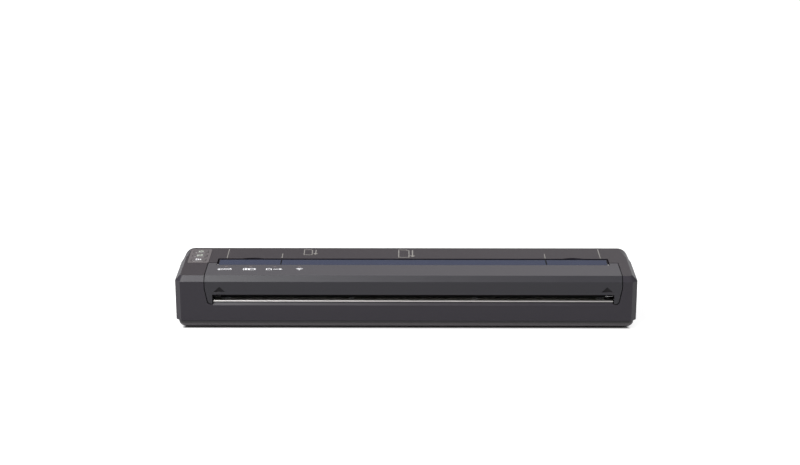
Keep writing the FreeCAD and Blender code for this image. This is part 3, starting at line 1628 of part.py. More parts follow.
def battery_pack():
    box = block(battery_left, battery_right, battery_front_y, battery_rear_y, battery_low_z, battery_high_z)
    box = box.makeFillet(battery_radius, edges_where(box, lambda m, d: abs(d.x) > battery_radius))
    inner_radius = battery_radius - cell_groove
    core = block(battery_left, battery_right, battery_front_y + cell_groove, battery_rear_y - cell_groove,
                 battery_low_z + cell_groove, battery_high_z - cell_groove)
    core = core.makeFillet(inner_radius, edges_where(core, lambda m, d: abs(d.x) > battery_radius))
    tools = []
    for x in spread(cell_count + 1, battery_left, battery_right)[1:-1]:
        band = block(x - cell_groove_width / 2, x + cell_groove_width / 2, 0, body_depth, 0, top_z)
        tools.append(band.cut(core))
    return cut(box, tools)


def battery_contacts():
    x0 = battery_left - bay_room - contact_depth
    tip = x0 + contact_depth
    middle_y = (battery_front_y + battery_rear_y) / 2
    low = (battery_low_z + battery_high_z) / 2 - contact_height / 2
    high = low + contact_height
    contacts = []
    for y in (middle_y - contact_pitch, middle_y, middle_y + contact_pitch):
        contacts.append(along_y(y - contact_width / 2, y + contact_width / 2, (x0, low), (x0, high),
                                (x0 + contact_base, high),
                                ((tip, (low + high) / 2), (x0 + contact_base, low))))
    return group(contacts)


nodes = {
    "upper_casing": upper_casing, "bottom_casing": bottom_casing, "release_cover": release_cover,
    "cover_trim_strip": cover_trim_strip, "hinge_pins": hinge_pins, "tear_bar": tear_bar,
    "tear_bar_screws": tear_bar_screws, "chassis": chassis, "chassis_screws": chassis_screws,
    "paper_guide": paper_guide, "paper_sensor": paper_sensor, "platen_shaft": platen_shaft,
    "platen_roller": platen_roller, "platen_bushes": platen_bushes, "platen_gear": platen_gear,
    "shaft_clip": shaft_clip, "idler_gear": idler_gear, "reduction_gear": reduction_gear,
    "gear_axles": gear_axles, "axle_clips": axle_clips, "drive_motor": drive_motor,
    "motor_screws": motor_screws, "motor_shaft": motor_shaft, "motor_pinion": motor_pinion,
    "print_head": print_head, "heat_sink": heat_sink, "head_bracket": head_bracket,
    "bracket_screws": bracket_screws, "head_pins": head_pins, "head_springs": head_springs,
    "indicator_board": indicator_board, "led_light_pipes": led_light_pipes, "key_panel": key_panel,
    "key_board": key_board, "key_switches": key_switches, "main_board": main_board,
    "board_parts": board_parts, "board_screws": board_screws, "dc_jack": dc_jack,
    "usb_socket": usb_socket, "port_cover": port_cover, "battery_pack": battery_pack,
    "battery_contacts": battery_contacts, "battery_cover": battery_cover, "rubber_feet": rubber_feet,
    "case_screws": case_screws,
}
for name, y in zip(("feed_key", "wireless_key", "power_key"), key_ys):
    nodes[name] = lambda y=y: key(y)

os.makedirs("parts", exist_ok=True)
for name, make in nodes.items():
    make().exportStep("parts/" + name + ".step")
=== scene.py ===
import bpy
import math
import numpy as np
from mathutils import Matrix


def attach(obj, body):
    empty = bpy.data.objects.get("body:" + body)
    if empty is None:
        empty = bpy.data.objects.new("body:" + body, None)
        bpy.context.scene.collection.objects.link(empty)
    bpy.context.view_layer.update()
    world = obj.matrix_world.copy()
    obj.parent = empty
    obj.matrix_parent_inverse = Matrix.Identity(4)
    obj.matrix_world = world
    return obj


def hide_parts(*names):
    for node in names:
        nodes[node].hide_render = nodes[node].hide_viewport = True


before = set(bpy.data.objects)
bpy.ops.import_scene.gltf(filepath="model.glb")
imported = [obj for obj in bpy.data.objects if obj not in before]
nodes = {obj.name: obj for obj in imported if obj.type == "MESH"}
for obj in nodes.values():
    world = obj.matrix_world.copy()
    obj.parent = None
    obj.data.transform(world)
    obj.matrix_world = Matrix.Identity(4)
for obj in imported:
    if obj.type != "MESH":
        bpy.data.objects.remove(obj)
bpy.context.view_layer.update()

# Moulded casing: the upper shell and the release cover are one charcoal plastic with a fine
# sparked texture all over, and the tray and its battery door are the same plastic, a little
# coarser. All are injection mouldings, screwed together from below. On the shell and the cover,
# faces that look up take a lighter colour: painted light on the tops.
mm = 0.001
grain_detail, patch_detail = 3.0, 2.0
patches_per_mm = 0.06
level_from = 0.85
rough_spread = 0.04
grain_strength = 0.6
weld_gap, edge_radius, edge_angle = 0.002, 0.22, 40
matt_shine = 0.33
groove_low, groove_high = 3.3, 3.9
groove_shade_colour = (0.004, 0.004, 0.004)


def grain_group():
    """Fine texture of a steel mould: small bumps as Height, and slow uneven shading as Tone."""
    group = bpy.data.node_groups.new("mould grain", "ShaderNodeTree")
    face = group.interface
    face.new_socket(name="Bumps per mm", in_out="INPUT", socket_type="NodeSocketFloat")
    face.new_socket(name="Patches per mm", in_out="INPUT", socket_type="NodeSocketFloat")
    face.new_socket(name="Height", in_out="OUTPUT", socket_type="NodeSocketFloat")
    face.new_socket(name="Tone", in_out="OUTPUT", socket_type="NodeSocketFloat")
    make, link = group.nodes.new, group.links.new
    given, result = make("NodeGroupInput"), make("NodeGroupOutput")
    where = make("ShaderNodeTexCoord")
    bumps, patches = make("ShaderNodeTexNoise"), make("ShaderNodeTexNoise")
    for source, texture, detail in ((0, bumps, grain_detail), (1, patches, patch_detail)):
        per_metre = make("ShaderNodeMath")
        per_metre.operation = "DIVIDE"
        per_metre.inputs[1].default_value = mm
        texture.inputs["Detail"].default_value = detail
        link(given.outputs[source], per_metre.inputs[0])
        link(per_metre.outputs[0], texture.inputs["Scale"])
        link(where.outputs["Object"], texture.inputs["Vector"])
        link(texture.outputs["Fac"], result.inputs[source])
    return group


def facing_group():
    """How nearly level a surface lies, face up, as a share from 0 to 1, taken from its normal; it
    places the painted light on tops.
    """
    group = bpy.data.node_groups.new("facing up", "ShaderNodeTree")
    group.interface.new_socket(name="Up", in_out="OUTPUT", socket_type="NodeSocketFloat")
    make, link = group.nodes.new, group.links.new
    result, where = make("NodeGroupOutput"), make("ShaderNodeTexCoord")
    parts, share = make("ShaderNodeSeparateXYZ"), make("ShaderNodeMapRange")
    share.interpolation_type = "SMOOTHSTEP"
    share.inputs["From Min"].default_value = level_from
    link(where.outputs["Normal"], parts.inputs[0])
    link(parts.outputs["Z"], share.inputs["Value"])
    link(share.outputs["Result"], result.inputs[0])
    return group


mould_grain = grain_group()
facing_up = facing_group()


def textured(name, dark, light, rough, bumps, depth, shine=None, top=None):
    """Material whose colour drifts from dark to light in patches, with a bumpy surface.

    Bumps are counted per mm and their depth is in mm. Given a top colour, faces that look up
    take it in place of the other two: painted light that draws the tops lighter than the sides.
    """
    material = bpy.data.materials.new(name)
    material.use_nodes = True
    make, link = material.node_tree.nodes.new, material.node_tree.links.new
    shader = material.node_tree.nodes["Principled BSDF"]
    grain = make("ShaderNodeGroup")
    grain.node_tree = mould_grain
    grain.inputs["Bumps per mm"].default_value = bumps
    grain.inputs["Patches per mm"].default_value = patches_per_mm
    colour = make("ShaderNodeMix")
    colour.data_type = "RGBA"
    colour.inputs["A"].default_value = (*dark, 1)
    colour.inputs["B"].default_value = (*light, 1)
    polish = make("ShaderNodeMapRange")
    polish.inputs["To Min"].default_value = rough - rough_spread
    polish.inputs["To Max"].default_value = rough + rough_spread
    bump = make("ShaderNodeBump")
    bump.inputs["Strength"].default_value = grain_strength
    bump.inputs["Distance"].default_value = depth * mm
    link(grain.outputs["Tone"], colour.inputs["Factor"])
    link(grain.outputs["Tone"], polish.inputs["Value"])
    link(grain.outputs["Height"], bump.inputs["Height"])
    # Painted light: faces that look up take the lighter top colour.
    if top:
        upward, painted_top_light = make("ShaderNodeGroup"), make("ShaderNodeMix")
        upward.node_tree = facing_up
        painted_top_light.data_type = "RGBA"
        painted_top_light.inputs["B"].default_value = (*top, 1)
        link(upward.outputs["Up"], painted_top_light.inputs["Factor"])
        link(colour.outputs["Result"], painted_top_light.inputs["A"])
        link(painted_top_light.outputs["Result"], shader.inputs["Base Color"])
    else:
        link(colour.outputs["Result"], shader.inputs["Base Color"])
    link(polish.outputs["Result"], shader.inputs["Roughness"])
    link(bump.outputs["Normal"], shader.inputs["Normal"])
    if shine is not None:
        shader.inputs["Specular IOR Level"].default_value = shine
    return material


def dress(names, material):
    """Gives CAD nodes their finished material."""
    for name in names.split():
        nodes[name].data.materials.clear()
        nodes[name].data.materials.append(material)


def soften(names):
    """Small moulded radius on the sharp edges of CAD nodes, so that they catch the light."""
    for name in names.split():
        weld = nodes[name].modifiers.new("weld", "WELD")
        weld.merge_threshold = weld_gap * mm
        edge = nodes[name].modifiers.new("moulded edge", "BEVEL")
        edge.width = edge_radius * mm
        edge.segments = 2
        edge.limit_method = "ANGLE"
        edge.angle_limit = math.radians(edge_angle)
        edge.use_clamp_overlap = True
        even = nodes[name].modifiers.new("even shading", "WEIGHTED_NORMAL")
        even.keep_sharp = True


def shade_groove(material):
    """Darkens a material over the height of the groove between the casings: painted shade in the
    groove.
    """
    make, link = material.node_tree.nodes.new, material.node_tree.links.new
    shader = material.node_tree.nodes["Principled BSDF"]
    plain = shader.inputs["Base Color"].links[0].from_socket
    where, parts = make("ShaderNodeTexCoord"), make("ShaderNodeSeparateXYZ")
    groove_shade_share, colour = make("ShaderNodeMapRange"), make("ShaderNodeMix")
    groove_shade_share.inputs["From Min"].default_value = groove_low * mm
    groove_shade_share.inputs["From Max"].default_value = groove_high * mm
    colour.data_type = "RGBA"
    colour.inputs["B"].default_value = (*groove_shade_colour, 1)
    link(where.outputs["Object"], parts.inputs[0])
    link(parts.outputs["Z"], groove_shade_share.inputs["Value"])
    link(groove_shade_share.outputs["Result"], colour.inputs["Factor"])
    link(plain, colour.inputs["A"])
    link(colour.outputs["Result"], shader.inputs["Base Color"])


# Both plastics take a lighter colour on faces that look up: painted light on the tops.
casing_plastic = textured("casing plastic", (0.016, 0.013, 0.019), (0.019, 0.016, 0.023),
                          0.42, 2.6, 0.03, shine=matt_shine, top=(0.023, 0.018, 0.022))
cover_plastic = textured("cover plastic", (0.018, 0.017, 0.022), (0.021, 0.020, 0.025),
                         0.42, 2.6, 0.03, shine=matt_shine, top=(0.046, 0.043, 0.049))
# Painted light: the tray is drawn lighter than the casing, for the light that the table throws up
# onto it.
tray_plastic = textured("tray plastic", (0.058, 0.051, 0.057), (0.066, 0.058, 0.064),
                        0.5, 2.2, 0.04)
# Painted shade: the tray darkens over the height of the groove under the casing's edge.
shade_groove(tray_plastic)
dress("upper_casing", casing_plastic)
dress("release_cover", cover_plastic)
dress("bottom_casing battery_cover", tray_plastic)
soften("upper_casing release_cover bottom_casing battery_cover")

# Trim strip: a polished dark blue strip snapped into the rear of the release cover, along the
# paper inlet. It is smooth, so the room shows in it.
trim_blue = textured("trim blue", (0.007, 0.012, 0.038), (0.010, 0.016, 0.046),
                     0.2, 0.8, 0.004)
dress("cover_trim_strip", trim_blue)


# Metal parts: ground steel shafts and pins, the folded bracket of the print head, its springs,
# the drawn heat sink, gilt contacts and the brass pinion. All show fine lines along the length.
stretch_share = 0.01
polish_spread = 0.08


def drawn_group():
    """Grinding lines: noise stretched a hundredfold along X."""
    group = bpy.data.node_groups.new("grinding lines", "ShaderNodeTree")
    face = group.interface
    face.new_socket(name="Lines per mm", in_out="INPUT", socket_type="NodeSocketFloat")
    face.new_socket(name="Line", in_out="OUTPUT", socket_type="NodeSocketFloat")
    make, link = group.nodes.new, group.links.new
    given, result = make("NodeGroupInput"), make("NodeGroupOutput")
    where, stretch = make("ShaderNodeTexCoord"), make("ShaderNodeMapping")
    noise, per_metre = make("ShaderNodeTexNoise"), make("ShaderNodeMath")
    per_metre.operation = "DIVIDE"
    per_metre.inputs[1].default_value = mm
    stretch.inputs["Scale"].default_value = (stretch_share, 1, 1)
    link(where.outputs["Object"], stretch.inputs["Vector"])
    link(stretch.outputs["Vector"], noise.inputs["Vector"])
    link(given.outputs[0], per_metre.inputs[0])
    link(per_metre.outputs[0], noise.inputs["Scale"])
    link(noise.outputs["Fac"], result.inputs[0])
    return group


grinding_lines = drawn_group()


def ground_metal(name, colour, rough, lines):
    """Metal whose polish changes from line to line, so many lines per mm."""
    material = bpy.data.materials.new(name)
    material.use_nodes = True
    make, link = material.node_tree.nodes.new, material.node_tree.links.new
    shader = material.node_tree.nodes["Principled BSDF"]
    shader.inputs["Base Color"].default_value = (*colour, 1)
    shader.inputs["Metallic"].default_value = 1.0
    streak = make("ShaderNodeGroup")
    streak.node_tree = grinding_lines
    streak.inputs["Lines per mm"].default_value = lines
    polish = make("ShaderNodeMapRange")
    polish.inputs["To Min"].default_value = rough - polish_spread
    polish.inputs["To Max"].default_value = rough + polish_spread
    link(streak.outputs["Line"], polish.inputs["Value"])
    link(polish.outputs["Result"], shader.inputs["Roughness"])
    return material


bright_steel = ground_metal("ground steel", (0.74, 0.74, 0.75), 0.26, 6.0)
zinc_steel = ground_metal("zinc plate", (0.60, 0.61, 0.62), 0.36, 2.0)
spring_steel = ground_metal("spring steel", (0.46, 0.46, 0.48), 0.32, 4.0)
sink_aluminium = ground_metal("drawn aluminium", (0.76, 0.77, 0.78), 0.38, 4.0)
gilt_contact = ground_metal("gilt contact", (0.80, 0.60, 0.28), 0.30, 3.0)
turned_brass = ground_metal("turned brass", (0.72, 0.56, 0.26), 0.30, 3.0)
dress("platen_shaft hinge_pins gear_axles motor_shaft head_pins", bright_steel)
dress("head_bracket drive_motor usb_socket", zinc_steel)
dress("head_springs shaft_clip axle_clips", spring_steel)
dress("heat_sink", sink_aluminium)
dress("battery_contacts", gilt_contact)
dress("motor_pinion", turned_brass)

# Works inside: a black glass-filled chassis and paper guide, natural acetal gears and bushes,
# the rubber platen, the glazed ceramic of the print head, and the circuit boards.
chassis_plastic = textured("chassis plastic", (0.012, 0.012, 0.013), (0.020, 0.020, 0.021),
                           0.55, 1.6, 0.03)
acetal = textured("acetal", (0.70, 0.68, 0.62), (0.76, 0.74, 0.69),
                  0.38, 1.0, 0.01)
platen_rubber = textured("platen rubber", (0.022, 0.022, 0.023), (0.034, 0.034, 0.036),
                         0.72, 4.0, 0.03)
ceramic = textured("glazed ceramic", (0.72, 0.70, 0.65), (0.78, 0.76, 0.71),
                   0.18, 1.0, 0.003)
laminate = textured("board laminate", (0.012, 0.085, 0.030), (0.020, 0.110, 0.040),
                    0.32, 0.9, 0.008)
switch_black = textured("switch black", (0.020, 0.020, 0.020), (0.030, 0.030, 0.030),
                        0.42, 1.5, 0.01)
sleeve_black = textured("battery sleeve", (0.022, 0.022, 0.026), (0.032, 0.032, 0.036),
                        0.26, 0.3, 0.05)
dress("chassis paper_guide dc_jack paper_sensor board_parts", chassis_plastic)
dress("platen_gear idler_gear reduction_gear platen_bushes", acetal)
dress("platen_roller", platen_rubber)
dress("print_head", ceramic)
dress("main_board key_board indicator_board", laminate)
dress("key_switches", switch_black)
dress("battery_pack", sleeve_black)


# Screws: zinc-plated pan-head screws with a cross recess hold the tray, the chassis, the motor,
# the board and the head bracket, and flat-head ones with the same recess hold the tear bar.
shank_radius = 0.7
head_radius = 1.7
head_height = 1.4
flat_head_height = 0.7
rim_bend = 0.35
cross_radius, cross_half = 0.95, 0.2
flank_soft, end_soft = 0.12, 0.25
thread_pitch, thread_depth, rows_per_turn = 0.6, 0.14, 8
neck_length, thread_start, tip_length = 0.05, 0.2, 0.4
points_around = 48

# Each row: the body that the screws ride on, the way that their shanks point, the length of a
# shank, and the middle of every head's face.
case_places = ((-120.8, -20.8), (-120.8, 21.9), (-90.6, 21.9),
               (92.6, 21.9), (122.9, -20.8), (122.9, 21.9))
screw_rows = {
    "case_screws": ("base", "up", 8.0, [(x, y, 1.3) for x, y in case_places]),
    "chassis_screws": ("base", "down", 4.0,
                       [(x, 0.5, 8.3) for x in (-90.195, -31.524, 39.324, 97.995)]),
    "bracket_screws": ("cover", "up", 3.0,
                       [(x, -16.6, 25.2) for x in (-93.3, -46.86, 54.66, 101.1)]),
    "board_screws": ("base", "down", 4.0, [(99.3, 9.1, 10.2), (109.7, 21.3, 10.2)]),
    "motor_screws": ("base", "left", 2.3, [(-109.0, 22.601, 21.101), (-109.0, 7.399, 5.899)]),
    "tear_bar_screws": ("base", "down", 2.6,
                        [(x, -22.35, 16.9) for x in (-98.8, -30.333, 38.133, 106.6)]),
}


def screw_surface(shank_length, flat_head):
    """Screw along Z, its head's face at zero, as rings of points from the face's middle to the tip.

    The rings go out over the face, round the rim (a quarter circle for a pan head, a cone for a
    flat one), in under the head, along the shank and to the tip. On the face a cross is pressed
    in: a point goes deeper by a smooth step of how far the smaller of its distances to the two
    crossing lines is within half the cross's width, times one of how far it is inside the
    cross's radius. On the shank the radius falls by a wave of height less turn, the thread.
    """
    rim = 0.0 if flat_head else rim_bend
    high = flat_head_height if flat_head else head_height
    cross_depth = high / 2
    face = np.linspace(0.0, head_radius - rim, 14)
    bend = np.linspace(0, math.pi / 2, 5)[1:] if rim else np.array([])
    under = [] if flat_head else [head_radius]
    radius = np.concatenate([face, head_radius - rim + rim * np.sin(bend), under, [shank_radius]])
    level = np.concatenate([face * 0, rim - rim * np.cos(bend), [high for ring in under], [high]])
    turns = np.linspace(0, 1, max(8, int(shank_length / thread_pitch * rows_per_turn)))
    radius = np.concatenate([radius, np.full(turns.size, shank_radius), [shank_radius * 0.5, 0.0]])
    along = high + neck_length + turns * (shank_length - neck_length - tip_length)
    level = np.concatenate([level, along, [high + shank_length] * 2])
    angle = np.linspace(0, 2 * math.pi, points_around, endpoint=False)
    grid_radius = np.repeat(radius[:, None], points_around, 1)
    grid_level = np.repeat(level[:, None], points_around, 1)
    threaded = (grid_level > high + thread_start) & (grid_level < high + shank_length)
    wave = 0.5 + 0.5 * np.cos(2 * math.pi * grid_level / thread_pitch - angle)
    grid_radius = np.where(threaded, grid_radius - thread_depth * wave, grid_radius)
    x, y = grid_radius * np.cos(angle), grid_radius * np.sin(angle)
    line = np.clip((cross_half - np.minimum(abs(x), abs(y))) / flank_soft + 0.5, 0, 1)
    inside = np.clip((cross_radius - grid_radius) / end_soft + 0.5, 0, 1)
    on_face = np.arange(radius.size)[:, None] < face.size
    grid_level = grid_level + np.where(on_face, cross_depth * line * inside, 0)
    return np.stack([x, y, grid_level], -1)


def add_mesh(name, points, faces, material, body, replaced=(), smooth=True, slot=None):
    """Object from arrays of points in mm and faces, on its body. The slot is not used."""
    mesh = bpy.data.meshes.new(name)
    mesh.from_pydata((points * mm).tolist(), [], faces)
    mesh.validate()
    mesh.materials.append(material)
    mesh.polygons.foreach_set("use_smooth", np.full(len(mesh.polygons), smooth))
    thing = bpy.data.objects.new(name, mesh)
    bpy.context.collection.objects.link(thing)
    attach(thing, body)
    if replaced:
        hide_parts(*replaced)


way_turns = {"up": np.eye(3), "down": np.diag([1.0, -1.0, -1.0]),
             "left": np.array([[0.0, 0, -1], [0, 1, 0], [1, 0, 0]])}


def screw_mesh(name, body, way, length, places):
    """All screws of one node in one mesh, each turned to the way it points."""
    points, faces, count = [], [], 0
    for place in places:
        grid = screw_surface(length, name == "tear_bar_screws")
        rings, around = grid.shape[:2]
        inner = grid[1:-1].reshape(-1, 3)
        own = np.vstack([grid[0, :1], inner, grid[-1, :1]])
        step = np.arange(around)
        after = (step + 1) % around
        last = 1 + (rings - 3) * around
        fans = [np.stack([step * 0, 1 + after, 1 + step], -1),
                np.stack([step * 0 + len(own) - 1, last + step, last + after], -1)]
        ring = np.arange(rings - 3)[:, None] * around + 1
        a, b = (ring + step).ravel(), (ring + after).ravel()
        quads = np.stack([a, b, b + around, a + around], -1)
        points.append(own @ way_turns[way].T + place)
        faces += (quads + count).tolist() + (np.vstack(fans) + count).tolist()
        count += len(own)
    add_mesh(name, np.vstack(points), faces, zinc_steel, body, [name], slot="zinc_steel")


for node, row in screw_rows.items():
    screw_mesh(node, *row)

# Tear bar: drawn steel strip, its front lip ground to a narrow bright edge just above the sill.
# The foot behind the lip lies on the chassis, where the flat-head screws hold it.
bar_left, bar_right = -106.4, 114.2
bar_outline = np.array([(-26.25, 16.1), (-26.5, 16.3), (-26.5, 16.6), (-26.25, 17.0),
                        (-25.6, 17.0), (-25.6, 16.85), (-20.7, 16.85), (-20.7, 16.1)])
bar_steel = ground_metal("ground bar", (0.42, 0.41, 0.40), 0.30, 6.0)


def along_x(outline, left, right):
    """Closed outline in Y and Z, as one ring of points at each end along X."""
    ring = np.hstack([np.zeros((len(outline), 1)), outline])
    points = np.vstack([ring + (left, 0, 0), ring + (right, 0, 0)])
    a = np.arange(len(outline))
    b = (a + 1) % len(outline)
    sides = np.stack([a, a + len(outline), b + len(outline), b], -1).tolist()
    return points, sides + [a.tolist(), (a[::-1] + len(outline)).tolist()]


add_mesh("tear_bar_edge", *along_x(bar_outline, bar_left, bar_right), bar_steel, "base",
         ["tear_bar"], smooth=False, slot="bright_steel")

# Keys: three soft-touch caps in one warm grey panel, let into the left end of the top. Each cap
# stands on its own switch and comes up through an opening of the panel.
panel_plastic = textured("panel plastic", (0.074, 0.064, 0.068), (0.086, 0.075, 0.078),
                         0.5, 3.0, 0.02)
key_plastic = textured("key plastic", (0.066, 0.058, 0.061), (0.076, 0.067, 0.070),
                       0.48, 3.0, 0.02)
dress("key_panel", panel_plastic)
dress("feed_key wireless_key power_key", key_plastic)


# Signs on the keys, printed in pale ink: power, transfer and paper feed, in raised lines as
# thick as the ink. Each sign is a set of ribbons on the top of its key, and sinks with it.
ink = 0.03
head_spread, point = 1.3, 0.04
key_x, key_top = -117.2, 31.35
feed_y, transfer_y, power_y = 1.2, 8.25, 15.1


def ribbon(path, widths, thick, closed):
    """Flat straight-sided band carried along a path in a plane.

    At every point of the path its two sides lie half the width away, square to the mean of the
    directions before and after the point, and further out by one over the cosine of half the
    bend, which keeps the width even. Each side is a point at the bottom and one at the top.
    """
    path = np.asarray(path, float)
    widths = np.broadcast_to(np.asarray(widths, float), len(path))
    runs = np.roll(path, -1, 0) - path if closed else np.diff(path, axis=0)
    runs = runs / np.linalg.norm(runs, axis=1, keepdims=True)
    ahead = runs if closed else np.vstack([runs, runs[-1:]])
    behind = np.roll(runs, 1, 0) if closed else np.vstack([runs[:1], runs])
    mean = ahead + behind
    mean = mean / np.linalg.norm(mean, axis=1, keepdims=True)
    square = np.stack([-mean[:, 1], mean[:, 0]], 1)
    side = square * (widths / np.maximum((mean * ahead).sum(1), 0.5) / 2)[:, None]
    low, high = np.zeros((len(path), 1)), np.full((len(path), 1), thick)
    corners = [np.hstack([path - side, low]), np.hstack([path - side, high]),
               np.hstack([path + side, high]), np.hstack([path + side, low])]
    points = np.stack(corners, 1).reshape(-1, 3)
    ring = np.arange(len(path) if closed else len(path) - 1)[:, None] * 4
    corner = np.arange(4)[None]
    a, b = ring + corner, ring + (corner + 1) % 4
    c, d = (b + 4) % len(points), (a + 4) % len(points)
    quads = np.stack([a, d, c, b], -1).reshape(-1, 4).tolist()
    if not closed:
        quads += [[0, 1, 2, 3], [len(points) - 1 - i for i in range(4)]]
    return points, quads


def on_top(level):
    """Plane of the top: across is X and up the page is away from the front."""
    return lambda p: np.stack([p[:, 0], p[:, 1], level + p[:, 2]], 1)


def printed(name, strokes, onto, thick, material, body, slot):
    """One mesh of many ribbons, laid onto a plane of the object."""
    points, faces, count = [], [], 0
    for path, widths, closed in strokes:
        own, quads = ribbon(path, widths, thick, closed)
        points.append(onto(own))
        faces += (np.array(quads) + count).tolist()
        count += len(own)
    add_mesh(name, np.vstack(points), faces, material, body, smooth=False, slot=slot)


def arc(x, y, radius, first, last, count):
    """So many points on a circle about x, y, from one angle to the other in degrees."""
    turn = np.radians(np.linspace(first, last, count))
    return np.stack([x + radius * np.cos(turn), y + radius * np.sin(turn)], 1)


def arrow(x0, y0, x1, y1, width, head):
    """Shaft and pointed head from one point to the other."""
    start, tip = np.array([x0, y0], float), np.array([x1, y1], float)
    neck = tip - (tip - start) / np.linalg.norm(tip - start) * head
    return [([start, neck], width, False), ([neck, tip], [head * head_spread, point], False)]


def power_sign(x, y, radius, width):
    """Ring open at the top, with an upright bar in the opening."""
    return [(arc(x, y, radius, 125, 415, 28), width, False),
            ([(x, y + radius * 0.25), (x, y + radius * 1.35)], width, False)]


def sheet_sign(x, y, wide, high, width):
    """Sheet of paper with its corner cut off."""
    x0, x1, y0, y1 = x - wide / 2, x + wide / 2, y - high / 2, y + high / 2
    fold = wide * 0.28
    return [([(x0, y0), (x1, y0), (x1, y1 - fold), (x1 - fold, y1), (x0, y1)], width, True)]


def opposed_arrows(x, y, half_wide, half_apart, width, head):
    """Two arrows across the page, the upper one to the right and the lower one to the left."""
    upper, lower = y + half_apart, y - half_apart
    return (arrow(x - half_wide, upper, x + half_wide, upper, width, head)
            + arrow(x + half_wide, lower, x - half_wide, lower, width, head))


pale_ink = textured("pale ink", (0.68, 0.68, 0.70), (0.76, 0.76, 0.78), 0.5, 2.0, 0.002)
dim_ink = textured("dim ink", (0.42, 0.46, 0.40), (0.48, 0.52, 0.46), 0.5, 2.0, 0.002)
feed = (sheet_sign(key_x - 0.7, feed_y, 1.5, 1.9, 0.4)
        + arrow(key_x + 1.0, feed_y + 1.0, key_x + 1.0, feed_y - 1.0, 0.45, 1.0))
transfer = opposed_arrows(key_x, transfer_y, 1.9, 0.75, 0.4, 1.1)
power = power_sign(key_x, power_y, 1.1, 0.4)
for name, strokes, colour, body in (("feed_sign", feed, pale_ink, "feed_key"),
                                    ("transfer_sign", transfer, dim_ink, "wireless_key"),
                                    ("power_sign", power, dim_ink, "power_key")):
    printed(name, strokes, on_top(key_top), ink, colour, body, "key_plastic")

# Rubber feet and the rubber flap over the sockets: matt black, moulded. The feet are pressed
# into round recesses of the tray, and the flap swings about its upright rear edge.
foot_rubber = textured("foot rubber", (0.012, 0.012, 0.012), (0.020, 0.020, 0.020),
                       0.78, 2.0, 0.05)
dress("rubber_feet port_cover", foot_rubber)

# Indicator windows: smoked acrylic light pipes, unlit, level with the cover. Each is held by a
# flange under the cover's top, over its own lamp on a small board.
smoke_grey, pipe_rough, acrylic_bend = (0.10, 0.085, 0.09), 0.18, 1.49
lamp_smoke = bpy.data.materials.new("light pipe")
lamp_smoke.use_nodes = True
pipe_shader = lamp_smoke.node_tree.nodes["Principled BSDF"]
pipe_shader.inputs["Base Color"].default_value = (*smoke_grey, 1)
pipe_shader.inputs["Roughness"].default_value = pipe_rough
pipe_shader.inputs["IOR"].default_value = acrylic_bend
dress("led_light_pipes", lamp_smoke)

# Signs in front of the indicators, printed in white on the release cover: transfer, battery,
# paper feed and wireless.
cover_top = 31.0
sign_y, sign_high = -14.4, 2.4
transfer_x, battery_x, feed_x, wireless_x = -100.9, -87.2, -76.3, -59.4


def battery_sign(x, y, wide, high, width):
    """Cell outline with its pole at the right and two bars of charge inside."""
    x0, x1, y0, y1 = x - wide / 2, x + wide / 2 - width, y - high / 2, y + high / 2
    bars = [([(x0 + wide * share, y0 + width), (x0 + wide * share, y1 - width)], wide * 0.15, False)
            for share in (0.22, 0.46)]
    return [([(x0, y0), (x1, y0), (x1, y1), (x0, y1)], width, True),
            ([(x1 + width / 2, y), (x1 + width * 1.8, y)], high * 0.5, False)] + bars


def wireless_sign(x, y, size, width):
    """Dot with two arcs spreading from it."""
    dot = [([(x, y - size * 0.55), (x, y - size * 0.25)], width * 1.4, False)]
    centre = y - size * 0.5
    return dot + [(arc(x, centre, size * reach, 45, 135, 10), width, False)
                  for reach in (0.6, 1.05)]


signs = opposed_arrows(transfer_x, sign_y, 4.0, 0.75, 0.4, 1.3)
signs += battery_sign(battery_x, sign_y, 6.6, sign_high, 0.4)
signs += sheet_sign(feed_x, sign_y, 2.8, sign_high, 0.4)
signs += arrow(feed_x + 2.4, sign_y, feed_x + 7.4, sign_y, 0.55, 1.6)
signs += wireless_sign(wireless_x, sign_y, 2.5, 0.5)
printed("cover_signs", signs, on_top(cover_top), ink, pale_ink, "cover", "lamp_clear")

# Paper width marks: pairs of low moulded lines behind the inlet, at the edges of the two sheet
# sizes, and the same lines printed dark across the trim strip for the narrow size.
wide_sheet, narrow_sheet = (-101.4, 109.9), (-70.3, 78.7)
ridge_front, wide_rear, narrow_rear = 4.2, 20.0, 12.0
ridge_width, ridge_height = 0.45, 0.12
strip_front, strip_rear, line_width = -6.6, 1.2, 0.7
mark_ridge = textured("ridge plastic", (0.17, 0.16, 0.15), (0.20, 0.19, 0.18), 0.45, 2.6, 0.02)
ridges = [([(x, ridge_front), (x, rear)], ridge_width, False)
          for pair, rear in ((wide_sheet, wide_rear), (narrow_sheet, narrow_rear)) for x in pair]
printed("width_ridges", ridges, on_top(cover_top), ridge_height, mark_ridge, "base",
        "casing_plastic")
dark_ink = textured("dark ink", (0.004, 0.004, 0.005), (0.006, 0.006, 0.007), 0.6, 2.0, 0.002,
                    shine=0.05)
lines = [([(x, strip_front), (x, strip_rear)], line_width, False) for x in narrow_sheet]
printed("width_lines", lines, on_top(cover_top), ink, dark_ink, "cover", "trim_gloss")

# Loading signs behind the inlet, moulded in the same low relief: a small and a large sheet, each
# with an arrow at its right that points into the inlet.
relief = 0.08
loading = sheet_sign(-55.9, 14.6, 4.6, 9.0, 0.5) + arrow(-51.6, 18.6, -51.6, 10.4, 0.6, 2.2)
loading += sheet_sign(-1.3, 12.4, 5.8, 13.0, 0.55) + arrow(3.6, 18.4, 3.6, 6.4, 0.7, 2.6)
printed("loading_signs", loading, on_top(cover_top), relief, mark_ridge, "base", "casing_plastic")

